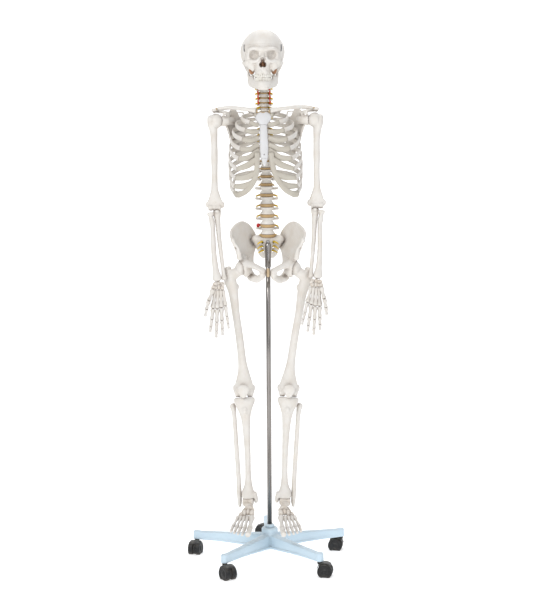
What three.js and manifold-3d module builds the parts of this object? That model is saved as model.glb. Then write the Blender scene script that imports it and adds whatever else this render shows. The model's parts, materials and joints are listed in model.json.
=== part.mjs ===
// A life-size human skeleton teaching model, hung by its pelvis on a chromed pole in a five-armed castor base.
// Millimetres, +Z up, the skeleton faces -Y and its right side is at -X. The origin is on the floor in the
// middle of the footprint. Lengths below are measured from the pole's axis, which stands at POLE.
import * as THREE from "three";
import { mergeVertices } from "three/addons/utils/BufferGeometryUtils.js";
import Module from "manifold-3d";

const wasm = await Module();
wasm.setup();

// ---- Driving dimensions -------------------------------------------------------------------------------
const POLE = [8, -22]; // the pole's place from the middle of the footprint
const GAP = 0.5; // between pieces that touch on the real model
const SIDES = { right: -1, left: 1 };

// heights of the landmarks above the floor
const SACRUM_TOP = 1112;
const LUMBAR_TOP = 1284;
const THORACIC_TOP = 1545;
const AXIS_TOP = 1643;
const ATLAS_TOP = 1659;
const SKULL_TOP = 1800;
const LEAN = -0.021; // sideways lean of the trunk, per millimetre of height above the sacrum

// joint centres: x, y, z, with y measured from the pole
const SHOULDER = { right: [-171, 5, 1500], left: [159, 5, 1502] };
const ELBOW = { right: [-180, 2, 1211], left: [168, 2, 1216] };
const WRIST = { right: [-163, -72, 966], left: [159, -72, 973] };
const FINGERTIP = { right: [-165, -126, 784], left: [141, -126, 793] };
const HIP = { right: [-86, -38, 1010], left: [86, -38, 1008] };
const KNEE = { right: [-84, -30, 592], left: [66, -30, 592] };
const ANKLE = { right: [-72, -36, 216], left: [51, -36, 216] };
const TOE_OUT = { right: 9, left: 7 }; // degrees
const FOOT_PITCH = 3; // degrees, toes down
const JAW = [0, 6, 1681];
const NOD = [0, 20, 1664];

// the stand
const ARM_REACH = 265;
const HUB_TOP = 115;
const STAR_TURN = 2; // degrees
const POLE_RADIUS = 8;
const POLE_TOP = 1080;
const CASTOR_RADIUS = 25;
const CASTOR_TRAIL = 18;
const CASTOR_HEADING = [140, -105, -55, -10, 170]; // degrees, from each stem to its wheels

// ---- Tools --------------------------------------------------------------------------------------------
const v3 = (a) => (a.isVector3 ? a.clone() : new THREE.Vector3(...a));
const rad = THREE.MathUtils.degToRad;
const mid = (z) => LEAN * Math.max(0, z - SACRUM_TOP);

// A geometry as a manifold solid, turned the right way out.
function solid(geometry) {
  if (geometry.delete) return geometry; // already a solid
  const bare = geometry.clone();
  bare.deleteAttribute("normal");
  bare.deleteAttribute("uv");
  const merged = mergeVertices(bare, 1e-3);
  const triVerts = new Uint32Array(merged.index.array);
  const vertProperties = merged.attributes.position.array;
  const made = new wasm.Manifold(new wasm.Mesh({ numProp: 3, vertProperties, triVerts }));
  if (made.volume() > 0) return made;
  for (let i = 0; i < triVerts.length; i += 3) triVerts.subarray(i + 1, i + 3).reverse();
  return new wasm.Manifold(new wasm.Mesh({ numProp: 3, vertProperties, triVerts }));
}
const join = (...parts) => parts.flat().map(solid).reduce((a, b) => a.add(b));
const cut = (body, ...tools) => tools.flat().map(solid).reduce((a, b) => a.subtract(b), solid(body));

// A closed tube through stations [x, y, z, half width, half depth]. The width lies along hint, and four
// sides make a flat strip.
function tube(stations, sides = 8, hint = [1, 0, 0]) {
  const last = stations.length - 1;
  const [size, turn] = sides === 4 ? [Math.SQRT2, Math.PI / 4] : [1, 0];
  const g = new THREE.CylinderGeometry(size, size, 1, sides, last, false, turn);
  const p = g.attributes.position;
  const at = stations.map((s) => new THREE.Vector3(s[0], s[1], s[2]));
  const frames = stations.map((s, i) => {
    const along = at[Math.max(i - 1, 0)].clone().sub(at[Math.min(i + 1, last)]).normalize();
    const across = v3(hint).addScaledVector(along, -v3(hint).dot(along)).normalize();
    return [across, across.clone().cross(along)];
  });
  for (let i = 0; i < p.count; i++) {
    const k = Math.round((0.5 - p.getY(i)) * last);
    const [across, deep] = frames[k];
    const [, , , width, depth = width] = stations[k];
    const q = at[k].clone().addScaledVector(across, p.getX(i) * width).addScaledVector(deep, p.getZ(i) * depth);
    p.setXYZ(i, q.x, q.y, q.z);
  }
  return g;
}
function ball(centre, radii, width = 12, height = 8) {
  const r = Array.isArray(radii) ? radii : [radii, radii, radii];
  return new THREE.SphereGeometry(1, width, height).rotateX(Math.PI / 2).scale(...r).translate(...centre);
}
function box(centre, size) {
  return new THREE.BoxGeometry(...size).translate(...centre);
}
function rod(from, to, radius, sides = 12, radiusTo = radius) {
  return tube([[...v3(from), radius], [...v3(to), radiusTo]], sides, [0.3, 0.5, 0.81]);
}
// Carries a shape built with its proximal joint at the origin and its shaft down -Z to lie between two joints.
function between(shape, from, to) {
  const z = v3(from).sub(v3(to)).normalize();
  const x = new THREE.Vector3(0, 1, 0).cross(z).normalize();
  const y = z.clone().cross(x);
  const m = new THREE.Matrix4().makeBasis(x, y, z).setPosition(v3(from));
  return solid(shape).transform(m.elements);
}
// A flat plate that stands in the XZ plane, from an outline of [x, z].
function plate(outline, thick) {
  const shape = new THREE.Shape(outline.map(([x, z]) => new THREE.Vector2(x, z)));
  const g = new THREE.ExtrudeGeometry(shape, { depth: thick, bevelEnabled: false });
  return g.translate(0, 0, -thick / 2).rotateX(Math.PI / 2);
}
const span = (from, to) => v3(from).distanceTo(v3(to));

const bone = new THREE.MeshStandardMaterial({ color: 0xe6e3da, roughness: 0.55, metalness: 0 });
const cartilage = new THREE.MeshStandardMaterial({ color: 0xb9b29c, roughness: 0.6, metalness: 0 });
const disc = new THREE.MeshStandardMaterial({ color: 0xb4884c, roughness: 0.55, metalness: 0 });
const prolapse = new THREE.MeshStandardMaterial({ color: 0xa3140f, roughness: 0.35, metalness: 0 });
const chrome = new THREE.MeshStandardMaterial({ color: 0xc8c8ca, roughness: 0.12, metalness: 1 });
const paint = new THREE.MeshStandardMaterial({ color: 0xbcd6e8, roughness: 0.4, metalness: 0 });
const black = new THREE.MeshStandardMaterial({ color: 0x14161a, roughness: 0.5, metalness: 0 });

const model = new THREE.Group();
model.position.set(...POLE, 0);
function add(name, shape, material) {
  const made = solid(shape).getMesh();
  const g = new THREE.BufferGeometry();
  g.setAttribute("position", new THREE.BufferAttribute(new Float32Array(made.vertProperties), 3));
  g.setIndex(new THREE.BufferAttribute(new Uint32Array(made.triVerts), 1));
  g.computeVertexNormals();
  const mesh = new THREE.Mesh(g, material);
  mesh.name = name;
  model.add(mesh);
}

// ---- Stand --------------------------------------------------------------------------------------------
const armAngle = (i) => rad(90 + STAR_TURN + 72 * i);
const tipOf = (i) => [ARM_REACH * Math.cos(armAngle(i)), ARM_REACH * Math.sin(armAngle(i))];
const STEM_RADIUS = 5.5;

function star() {
  const hub = rod([0, 0, HUB_TOP], [0, 0, 48], 28, 14, 31);
  const arms = [0, 1, 2, 3, 4].map((i) => {
    const arm = new THREE.BoxGeometry(ARM_REACH, 1, 1, 2, 1, 1).translate(ARM_REACH / 2, 0, 0);
    const p = arm.attributes.position;
    for (let k = 0; k < p.count; k++) {
      const t = p.getX(k) / ARM_REACH;
      const top = THREE.MathUtils.lerp(108, 76, t);
      const bottom = THREE.MathUtils.lerp(44, 57, t);
      const width = p.getZ(k) > 0 ? THREE.MathUtils.lerp(24, 15, t) : THREE.MathUtils.lerp(52, 24, t);
      p.setXYZ(k, p.getX(k), p.getY(k) * width, p.getZ(k) > 0 ? top : bottom);
    }
    const tip = rod([ARM_REACH, 0, 84], [ARM_REACH, 0, 55], 12.5, 8, 13.5);
    return join(arm, tip).transform(new THREE.Matrix4().makeRotationZ(armAngle(i)).elements);
  });
  const bores = [0, 1, 2, 3, 4].map((i) => rod([...tipOf(i), 74], [...tipOf(i), 50], STEM_RADIUS + 0.7, 8));
  return cut(join(hub, arms), rod([0, 0, 120], [0, 0, 55], POLE_RADIUS + 0.7, 12), bores);
}
add("base_star", star(), paint);
add("pole", rod([0, 0, POLE_TOP], [0, 0, 56], POLE_RADIUS, 12), chrome);

// A twin-wheel castor, built with its stem on the Z axis and its wheels trailing along +X.
function castorHood() {
  const axle = [CASTOR_TRAIL, 0, CASTOR_RADIUS];
  const web = rod([axle[0], 3, axle[2]], [axle[0], -3, axle[2]], 21, 10);
  const shell = cut(
    rod([axle[0], 23, axle[2]], [axle[0], -23, axle[2]], 28.6, 12),
    rod([axle[0], 30, axle[2]], [axle[0], -30, axle[2]], 26.8, 12),
    box([axle[0] + 14, 0, axle[2] - 20], [70, 70, 46]),
    box([axle[0] + 36, 0, axle[2]], [50, 70, 70]),
  );
  const neck = tube([[0, 0, 53.5, 9], [0, 0, 50, 8], [3, 0, 46, 7.5, 3.6], [9, 0, 37, 9, 3]], 6);
  const stem = rod([0, 0, 72], [0, 0, 48], STEM_RADIUS, 6);
  const bore = rod([axle[0], 9, axle[2]], [axle[0], -9, axle[2]], 3.6, 8);
  return cut(join(web, shell, neck, stem), bore);
}
function castorWheels() {
  const wheel = (y) =>
    rod([CASTOR_TRAIL, y + 8.5, CASTOR_RADIUS], [CASTOR_TRAIL, y - 8.5, CASTOR_RADIUS], CASTOR_RADIUS, 14);
  const axle = rod([CASTOR_TRAIL, 12, CASTOR_RADIUS], [CASTOR_TRAIL, -12, CASTOR_RADIUS], 3, 6);
  return join(wheel(12.8), wheel(-12.8), axle);
}
CASTOR_HEADING.forEach((heading, i) => {
  const place = new THREE.Matrix4().makeRotationZ(rad(heading)).setPosition(...tipOf(i), 0);
  add(`castor_hood_${i + 1}`, castorHood().transform(place.elements), black);
  add(`castor_wheels_${i + 1}`, castorWheels().transform(place.elements), black);
});

// ---- Spine --------------------------------------------------------------------------------------------
// y of the vertebral bodies' centres, by height
const SPINE = [
  [1112, 30], [1196, 16], [1267, 24], [1345, 44], [1420, 57], [1480, 54], [1545, 37], [1595, 23], [1643, 20], [1670, 20],
];
function spineY(z) {
  const i = Math.max(1, SPINE.findIndex((s) => s[0] >= z));
  const [a, b] = [SPINE[i - 1], SPINE[i]];
  return THREE.MathUtils.lerp(a[1], b[1], (z - a[0]) / (b[0] - a[0]));
}
// Heights of the discs of a region whose vertebrae change evenly in height from the lowest to the highest.
function levels(bottom, top, count, taper) {
  const share = Array.from({ length: count }, (_, i) => THREE.MathUtils.lerp(1, taper, i / (count - 1)));
  const unit = (top - bottom) / share.reduce((a, b) => a + b);
  return share.reduce((z, s) => [...z, z.at(-1) + s * unit], [bottom]);
}
const LUMBAR = levels(SACRUM_TOP, LUMBAR_TOP, 5, 1.04);
const THORACIC = levels(LUMBAR_TOP, THORACIC_TOP, 12, 0.56);
const CERVICAL = levels(THORACIC_TOP, AXIS_TOP, 6, 1.1);

// A stack of vertebrae and discs: a waisted column with a spinous and a transverse process on each.
function column(heights, sides, sizeAt, spinous, transverse) {
  const stations = [];
  const processes = [];
  heights.slice(0, -1).forEach((low, i) => {
    const high = heights[i + 1];
    const z = (low + high) / 2;
    const [w, d] = sizeAt(z);
    stations.push([mid(low), spineY(low), low + 2 * GAP, w, d], [mid(z), spineY(z), z, w * 0.8, d * 0.82]);
    const back = spineY(z) + d;
    const [reach, drop, half] = spinous(z);
    const [out, backward] = transverse(z);
    const wing = (side) => [mid(z) + side * out, back + backward, z + 2, 3.6];
    processes.push(
      tube([[mid(z), back - 4, z + 2, 8, half], [mid(z), back + reach, z - drop, 3, half * 0.8]], 4, [1, 0, 0]),
      tube([wing(-1), [mid(z), back, z + 1, 5], wing(1)], 4, [0, 1, 0]),
    );
  });
  const top = heights.at(-1) - GAP;
  const [w, d] = sizeAt(top);
  stations.push([mid(top), spineY(top), top, w, d]);
  return join(tube(stations, sides), processes);
}
const lerpBy = (z, low, high, a, b) => THREE.MathUtils.lerp(a, b, (z - low) / (high - low));
const thoracicWing = (z) => lerpBy(z, LUMBAR_TOP, THORACIC_TOP, 20, 25);
add("lumbar_spine", column(LUMBAR, 8,
  (z) => [lerpBy(z, SACRUM_TOP, LUMBAR_TOP, 24.5, 21.5), 17],
  () => [34, 6, 9], () => [41, 3]), bone);
add("thoracic_spine", column(THORACIC, 6,
  (z) => [lerpBy(z, LUMBAR_TOP, THORACIC_TOP, 20.5, 13), lerpBy(z, LUMBAR_TOP, THORACIC_TOP, 16, 9.5)],
  () => [26, 20, 5], (z) => [thoracicWing(z), 8]), bone);
add("cervical_spine", column(CERVICAL, 6,
  () => [12.5, 9], (z) => [lerpBy(z, THORACIC_TOP, AXIS_TOP, 34, 20), 4, 4], () => [26, -4]), bone);
add("prolapsed_disc", ball([mid(1150) - 32, spineY(1150) + 2, 1150], [6.5, 8, 8], 10, 6), prolapse);

function atlas() {
  const z = (AXIS_TOP + ATLAS_TOP) / 2;
  const [x, y] = [mid(z), 24];
  const ring = tube([[x, y, z + 5, 24, 22], [x, y, z - 5, 22, 20]], 12);
  const hole = tube([[x, y + 3, z + 9, 12, 13], [x, y + 3, z - 9, 12, 13]], 8);
  const wings = [-1, 1].map((s) => rod([x + s * 16, y, z], [x + s * 37, y + 2, z - 1], 5, 5, 3.5));
  return cut(join(ring, wings), hole);
}
add("atlas_vertebra", atlas(), bone);

// ---- Skull --------------------------------------------------------------------------------------------
const SKULL_X = mid(1725);
const CROWN = [SKULL_X, 15, 1727];
const CUT_Z = 1744; // where the skull cap comes off
function cranium() {
  const outside = ball(CROWN, [74, 91, 73], 18, 12);
  const inside = ball([CROWN[0], CROWN[1] + 2, CROWN[2] + 2], [67, 82, 65], 14, 9);
  return [outside, inside];
}
function skullCap() {
  const [outside, inside] = cranium();
  return cut(outside, inside, box([0, 0, CUT_Z - 150 + GAP], [400, 400, 300]));
}
function skullBase() {
  const [outside, inside] = cranium();
  const f = (x, y, z) => [SKULL_X + x, y, z];
  const face = tube([[...f(0, -44, 1726), 50, 30], [...f(0, -46, 1704), 48, 32], [...f(0, -49, 1680), 42, 30],
    [...f(0, -52, 1660), 29, 27], [...f(0, -54, 1637.5), 27, 25]], 12);
  const cheeks = [-1, 1].map((s) => tube([[...f(s * 26, -62, 1684), 9, 13], [...f(s * 50, -56, 1684), 7, 11],
    [...f(s * 65, -34, 1688), 5, 3.5], [...f(s * 68, -8, 1689), 5, 3.5], [...f(s * 62, 16, 1691), 5, 4]], 6, [0, 0, 1]));
  const brow = tube([[...f(-46, -52, 1722), 7], [...f(-24, -70, 1728), 8], [...f(24, -70, 1728), 8],
    [...f(46, -52, 1722), 7]], 6, [0, 0, 1]);
  const nose = rod(f(0, -66, 1716), f(0, -84, 1694), 8, 6, 5);
  const mastoids = [-1, 1].map((s) => rod(f(s * 55, 38, 1690), f(s * 50, 34, 1662), 12, 6, 7));
  const jawRooms = [-1, 1].map((s) => box(f(s * 51, -8, 1644), [18, 54, 88]));
  const occiput = ball(f(0, 62, 1692), [50, 40, 30], 10, 6);
  const orbits = [-1, 1].map((s) => rod(f(s * 31, -96, 1707), f(s * 24, -44, 1707), 20, 10, 9));
  const nostril = rod(f(0, -100, 1680), f(0, -56, 1680), 12, 6, 8);
  const foramen = rod(f(0, 30, 1710), f(0, 26, 1640), 15, 8);
  const body = cut(join(outside, face, cheeks, brow, nose, mastoids, occiput), inside, orbits, nostril, foramen, jawRooms,
    box([0, 0, CUT_Z + 150], [400, 400, 300]), box([0, 21, ATLAS_TOP - 16], [120, 60, 40]));
  return body.decompose().sort((a, b) => b.volume() - a.volume())[0];
}
add("skull_cap", skullCap(), bone);
add("skull", skullBase(), bone);
function mandible() {
  const f = (x, y, z) => [SKULL_X + x, y, z];
  const half = (s) => [[...f(s * 50, 4, 1681), 9, 5], [...f(s * 49, 2, 1662), 14, 3.5], [...f(s * 46, -4, 1632), 17, 4],
    [...f(s * 42, -20, 1619), 16, 5], [...f(s * 32, -48, 1614), 18, 6], [...f(s * 18, -72, 1613), 20, 6]];
  const path = [...half(-1), [...f(0, -79, 1612.5), 21, 7], ...half(1).reverse()];
  const ramus = (s) => tube([[...f(s * 49, -6, 1652), 17, 3.5], [...f(s * 46, -14, 1628), 17, 4]], 6, [0, 1, 0]);
  return join(tube(path, 6, [0, 0.3, 1]), ramus(-1), ramus(1));
}
add("mandible", mandible(), bone);

// ---- Rib cage -----------------------------------------------------------------------------------------
// For each rib: half width, height of its front end, x of its front end, y of its front end.
const RIBS = [
  [50, 1521, 32, -24], [76, 1492, 48, -44], [95, 1466, 64, -56], [106, 1436, 74, -66], [113, 1405, 82, -72],
  [118, 1372, 88, -76], [121, 1338, 94, -76], [122, 1308, 100, -70], [121, 1282, 104, -60], [118, 1262, 106, -48],
  [110, 1262, 108, 2], [96, 1276, 84, 62],
];
const ribRoot = (i) => (THORACIC[11 - i] + THORACIC[12 - i]) / 2 + 4;
function ribPath(i, s) {
  const [wide, zFront, xFront, yFront] = RIBS[i];
  const z0 = ribRoot(i);
  const spine = spineY(z0);
  const back = spine + lerpBy(i, 0, 11, 31, 38);
  const middle = lerpBy(i, 0, 11, 12, 30);
  const at = (x, y, share) => new THREE.Vector3(mid(z0) + s * x, y, THREE.MathUtils.lerp(z0, zFront, share));
  const points = [at(thoracicWing(z0) + 2.5, back - 14, 0), at(Math.max(34, wide * 0.42), back - 6, 0.02)];
  if (i < 11) points.push(at(wide * 0.72, back - 4 - wide * 0.09, 0.14), at(wide * 0.97, middle + 24, 0.34));
  if (i < 10) points.push(at(wide, middle - 16, 0.56), at((wide + xFront) / 2 + 5, (middle + yFront) / 2 - 14, 0.82));
  points.push(at(xFront, yFront, 1));
  return new THREE.CatmullRomCurve3(points, false, "centripetal");
}
function rib(i, s, steps = i < 10 ? 8 : 4) {
  const curve = ribPath(i, s);
  const points = curve.getPoints(steps);
  return tube(points.map((p, k) => [p.x, p.y, p.z, k === 0 ? 4 : 6, 3]), 4, [0, 0, 1]);
}
// The sternum's line, from the notch down to the tip.
const STERNUM = { top: 1526, angle: 1482, tip: 1350 };
const sternumY = (z) => THREE.MathUtils.lerp(-30, -86, (STERNUM.top - z) / (STERNUM.top - STERNUM.tip));
function sternum() {
  const s = (z, width, depth = 6) => [mid(z), sternumY(z), z, width, depth];
  return tube([s(1526, 17), s(1516, 27), s(1498, 25), s(1482, 15), s(1440, 15), s(1400, 18), s(1384, 15, 5),
    s(1368, 7, 4), s(1350, 4, 3)], 8);
}
add("sternum", sternum(), bone);
const STERNAL_Z = [1513, 1483, 1461, 1439, 1417, 1399, 1388];
function ribCage(s) {
  const ribs = Array.from({ length: 10 }, (_, i) => rib(i, s));
  const edge = (z) => [mid(z) + s * (z > 1495 ? 32.5 : 23.5), sternumY(z), z];
  const bars = STERNAL_Z.map((z, i) => {
    const end = ribPath(i, s).getPoint(1);
    const start = edge(z);
    const dip = new THREE.Vector3((end.x + start[0]) / 2, (end.y + start[1]) / 2 - 5, (end.z + z) / 2 - i * 1.2);
    return tube([[...end, 5.5, 3.4], [...dip, 5.5, 3.4], [...start, 5, 3.4]], 4, [0, 0, 1]);
  });
  const strip = tube([1514, 1482, 1440, 1400, 1388].map((z) => [...edge(z), 2.6, 3]), 4);
  const margin = tube([6, 7, 8, 9].map((i) => {
    const e = ribPath(i, s).getPoint(1);
    return [e.x - s * (i === 6 ? 14 : 0), e.y - 2, e.z - 2, 7, 3.4];
  }), 4, [0, 0, 1]);
  return join(ribs, bars, strip, margin);
}
for (const [side, s] of Object.entries(SIDES)) {
  add(`rib_cage_${side}`, ribCage(s), bone);
  add(`floating_rib_11_${side}`, rib(10, s), bone);
  add(`floating_rib_12_${side}`, rib(11, s), bone);
}

// ---- Pelvis -------------------------------------------------------------------------------------------
function sacrum() {
  const tail = [[0, 34, SACRUM_TOP - GAP, 27, 17], [0, 38, 1098, 50, 19], [0, 52, 1075, 44, 16],
    [0, 66, 1055, 32, 12], [0, 68, 1035, 18, 8], [0, 58, 1018, 9, 6], [0, 46, 1006, 5, 4]];
  return tube(tail, 10);
}
add("sacrum", sacrum(), bone);
add("pubic_symphysis", box([0, -92, 997], [11, 15, 30]), cartilage);

// A metal pin whose ball sits in the head of a limb bone, and the room that the head leaves round it.
function ballPin(centre, inward, reach) {
  const c = v3(centre);
  const foot = c.clone().add(v3([inward * reach, 0, 0]));
  return join(ball(centre, 5.5, 8, 6), rod(c, foot, 2.8, 6), rod(foot.clone().add(v3([-inward * 2.5, 0, 0])), foot, 8, 10));
}
function ballRoom(centre, inward) {
  const c = v3(centre);
  const mouth = c.clone().add(v3([inward * 30, 0, 0]));
  return [ball(centre, 6.8, 8, 6), rod(c, mouth, 4.2, 8, 24)];
}
const HIP_SOCKET = 26.5;
function hipBone(side, s) {
  const f = (x, y, z) => [s * x, y, z];
  const [, hy, hz] = HIP[side];
  const blade = tube([[...f(76, -28, 1004), 28, 20], [...f(73, -8, 1040), 34, 10], [...f(86, -2, 1068), 66, 6],
    [...f(96, 2, 1090), 86, 5.5], [...f(99, 8, 1118), 78, 5.5], [...f(98, 14, 1142), 58, 6], [...f(96, 20, 1156), 30, 5]],
  8, [s * 0.42, -0.9, 0]);
  const cup = ball([s * 80, hy, hz], [28, 32, 32], 12, 8);
  const mouth = rod([s * 90, hy, hz], [s * 130, hy, hz], 27, 10, 42);
  const ramus = tube([[...f(74, -58, 1014), 10, 12], [...f(44, -84, 1016), 7, 8], [...f(14, -93, 1004), 8, 12],
    [...f(12.5, -90, 990), 7, 9], [...f(24, -72, 972), 6, 8], [...f(38, -44, 960), 8, 9], [...f(46, -12, 966), 14, 12],
    [...f(60, -6, 984), 14, 13], [...f(72, -18, 1004), 14, 15]], 8, [1, 0, 0]);
  const socket = ball(HIP[side], HIP_SOCKET, 12, 8);
  const seat = rod([s * 64, hy, hz], [s * 50, hy, hz], 8.8, 10);
  const sacralRoom = tube([[0, 34, 1125, 28, 18], [0, 38, 1098, 51, 20], [0, 52, 1075, 45, 17], [0, 66, 1055, 33, 13],
    [0, 68, 1035, 19, 9]], 12);
  const body = cut(join(blade, cup, ramus), socket, mouth, seat, sacralRoom, box([0, -92, 997], [13, 40, 60]),
    box([0, 60, 1100], [60, 120, 200]));
  return body.decompose().sort((a, b) => b.volume() - a.volume())[0];
}
function pelvisSleeve() {
  const tubeBody = rod([0, 0, 1088], [0, 0, 1010], 10.5, 14, 9.9);
  const cap = rod([0, 0, 1093], [0, 0, 1086], 6, 12, 9);
  const lug = box([0, 12.6, 1078], [9, 8, 14]);
  return cut(join(tubeBody, cap, lug), rod([0, 0, POLE_TOP + 1], [0, 0, 1000], POLE_RADIUS + 0.7, 12));
}
add("pelvis_sleeve", pelvisSleeve(), chrome);

// ---- Legs ---------------------------------------------------------------------------------------------
function femur(side, s) {
  const length = span(HIP[side], KNEE[side]);
  const f = (x, y, z) => [s * x, y, z];
  const shaft = tube([[...f(44, 0, -14), 17, 16], [...f(42, 0, -44), 18, 15], [...f(33, 0, -80), 15, 14.5],
    [...f(24, -4, -150), 13.5, 13.5], [...f(13, -7, -230), 13, 13.5], [...f(4, -6, -310), 14, 14], [...f(0, -5, -352), 20, 15],
    [...f(0, -4, -384), 31, 17], [...f(0, -6, -length), 35, 19]], 10);
  const neck = rod(f(2, 0, -2), f(44, 0, -30), 14, 8, 18);
  const trochanter = ball(f(50, 4, -20), [14, 17, 22], 8, 6);
  const condyles = [-1, 1].map((k) => tube([[...f(k * 20 - 15, 0, -length), 20.5], [...f(k * 20 + 15, 0, -length), 20.5]], 12, [0, 1, 0]));
  const trochlea = tube([[...f(-30, -14, -length + 2), 17], [...f(30, -14, -length + 2), 18]], 8, [0, 1, 0]);
  const body = join(shaft, neck, trochanter, condyles, trochlea);
  return between(body, HIP[side], KNEE[side]).add(solid(ball(HIP[side], 23.5, 12, 8)));
}
function tibia(side, s) {
  const length = span(KNEE[side], ANKLE[side]);
  const f = (x, y, z) => [s * x, y, z];
  return tube([[...f(0, -5, -21.6), 33, 24], [...f(0, -5, -32), 36, 26], [...f(-1, -8, -60), 25, 22], [...f(-3, -8, -110), 15, 16],
    [...f(-5, -5, -200), 11.5, 13], [...f(-3, -2, -290), 11, 11.5], [...f(-3, 0, -length + 42), 17, 15],
    [...f(-5, 0, -length + 24), 23, 18], [...f(-5, 0, -length + 17.5), 24, 18]], 10);
}
function fibula(side, s) {
  const length = span(KNEE[side], ANKLE[side]);
  const f = (x, y, z) => [s * x, y, z];
  return tube([[...f(39, 14, -44), 7], [...f(41, 14, -54), 11], [...f(39, 13, -74), 6.5], [...f(35, 12, -180), 6.5],
    [...f(32, 10, -280), 6.5], [...f(30, 5, -length + 26), 8, 9], [...f(30, 4, -length - 4), 7.5, 10],
    [...f(30, 4, -length - 16), 4, 6]], 6);
}
function foot(side, s) {
  const f = (x, y, z) => [s * x, -y, z]; // out, forward, up from the ankle's centre
  const talus = join(tube([[...f(-15, 0, 0), 15.5], [...f(16, 0, 0), 15.5]], 12, [0, 1, 0]), ball(f(0, 10, -12), [19, 26, 14], 8, 6));
  const heel = tube([[...f(2, -58, -44), 12, 17], [...f(2, -38, -42), 15, 21], [...f(3, -8, -30), 17, 15], [...f(6, 24, -32), 15, 12]], 6);
  const tarsus = tube([[...f(-2, 20, -20), 20, 13], [...f(-2, 46, -28), 26, 13], [...f(-2, 66, -36), 30, 12]], 6);
  const toes = [[-22, -25, 128, 170, 8], [-9, -7, 130, 174, 4.4], [2, 8, 126, 168, 4], [12, 22, 119, 158, 4], [22, 36, 110, 144, 4.4]].map(
    ([x0, x1, ball1, tip, r]) => tube([[...f(x0, 56, -36), r + 1.5], [...f((x0 + x1) / 2, 84, -44), r * 0.8], [...f(x1, ball1 - 8, -58), r + 1.5],
      [...f(x1, ball1 + 12, -60), r * 0.85], [...f(x1 + 1, tip - 12, -62), r], [...f(x1 + 1, tip, -65), r * 0.7]], 4));
  const m = new THREE.Matrix4().makeRotationZ(s * rad(TOE_OUT[side])).multiply(new THREE.Matrix4().makeRotationX(rad(FOOT_PITCH)));
  return join(talus, heel, tarsus, toes).transform(m.setPosition(...ANKLE[side]).elements);
}
for (const [side, s] of Object.entries(SIDES)) {
  const seat = ballRoom(HIP[side], -s);
  add(`hip_bone_${side}`, hipBone(side, s), bone);
  add(`hip_pin_${side}`, ballPin(HIP[side], -s, 31), chrome);
  add(`femur_${side}`, cut(femur(side, s), seat), bone);
  add(`patella_${side}`, between(ball([s * 2, -38, -span(HIP[side], KNEE[side]) + 8], [20, 6, 21], 10, 6), HIP[side], KNEE[side]), bone);
  const shin = [KNEE[side], ANKLE[side]];
  const ankleRoom = rod([ANKLE[side][0] - 60, ...ANKLE[side].slice(1)], [ANKLE[side][0] + 60, ...ANKLE[side].slice(1)], 16.8, 14);
  add(`tibia_${side}`, cut(between(tibia(side, s), ...shin), ankleRoom), bone);
  add(`fibula_${side}`, between(fibula(side, s), ...shin), bone);
  add(`foot_${side}`, foot(side, s), bone);
}

// ---- Shoulder girdle ----------------------------------------------------------------------------------
const GLENOID = 22; // from the shoulder's centre inwards to the socket's face
const BLADE_OUTLINE = [[-34, 32], [20, 27], [44, 20], [44, -16], [24, -30], [6, -69], [-13, -100], [-28, -117], [-42, -116],
  [-52, -98], [-57, -66], [-53, -28], [-42, 4]];
function scapula(side, s) {
  const c = SHOULDER[side];
  const f = (x, y, z) => [c[0] + s * x, c[1] + y, c[2] + z];
  const blade = plate(BLADE_OUTLINE, 6).rotateX(rad(9)).rotateZ(rad(-44)).translate(-62, 56, 0).scale(s, 1, 1).translate(...c);
  const neck = tube([[...f(-GLENOID - 1, 0, 0), 11, 18], [...f(-34, 10, 0), 10, 15], [...f(-56, 44, 2), 8, 16]], 8, [0, 1, 0]);
  const spine = tube([[...f(-94, 88, 8), 8, 3], [...f(-62, 66, 20), 15, 4], [...f(-26, 42, 30), 12, 5], [...f(0, 16, 34), 12, 4.5],
    [...f(4, -6, 34), 9, 4]], 6, [-s * 0.3, 1, 0]);
  const coracoid = tube([[...f(-38, 14, 10), 7], [...f(-36, -8, 26), 6], [...f(-28, -22, 21), 5]], 6);
  return cut(join(blade, neck, spine, coracoid), ball(c, 26, 12, 8), rod(f(-18, 0, 0), f(-30, 0, 0), 8.8, 10));
}
function clavicle(side, s) {
  const c = SHOULDER[side];
  const end = [c[0] - s * 7, c[1] - 6, c[2] + 40];
  const start = [mid(1526) + s * 22, -36, 1531];
  const at = (share, y, z, r) => [THREE.MathUtils.lerp(start[0], end[0], share), THREE.MathUtils.lerp(start[1], end[1], share) + y,
    THREE.MathUtils.lerp(start[2], end[2], share) + z, r, r * 0.8];
  return tube([at(0, 0, 0, 10), at(0.12, -3, 1, 8), at(0.35, -9, 3, 6), at(0.62, 4, 6, 6), at(0.85, 6, 4, 6.5), at(1, 0, 0, 7)], 6, [0, 0.4, 0.9]);
}

// ---- Arms ---------------------------------------------------------------------------------------------
const ELBOW_ROOM = 12.4;
function humerus(side, s) {
  const length = span(SHOULDER[side], ELBOW[side]);
  const f = (x, y, z) => [s * x, y, z];
  const shaft = tube([[...f(8, 0, 12), 17, 17], [...f(10, -1, -8), 20, 19], [...f(6, 0, -34), 15, 14], [...f(3, 0, -80), 11.5, 11.5],
    [...f(1, 0, -150), 10.5, 11], [...f(0, 0, -220), 11, 9.5], [...f(-1, 0, -length + 34), 19, 7], [...f(-3, 0, -length + 14), 29, 6.5],
    [...f(-3, 0, -length + 2), 27, 6]], 10);
  const spool = tube([[...f(-22, 0, -length), 11], [...f(-12, 0, -length), 8.5], [...f(-2, 0, -length), 10], [...f(4, 0, -length), 8.5],
    [...f(12, 0, -length), 10.5], [...f(20, 0, -length), 8]], 8, [0, 1, 0]);
  const body = between(join(shaft, spool), SHOULDER[side], ELBOW[side]);
  return body.add(solid(ball(SHOULDER[side], 23, 10, 8)));
}
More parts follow.
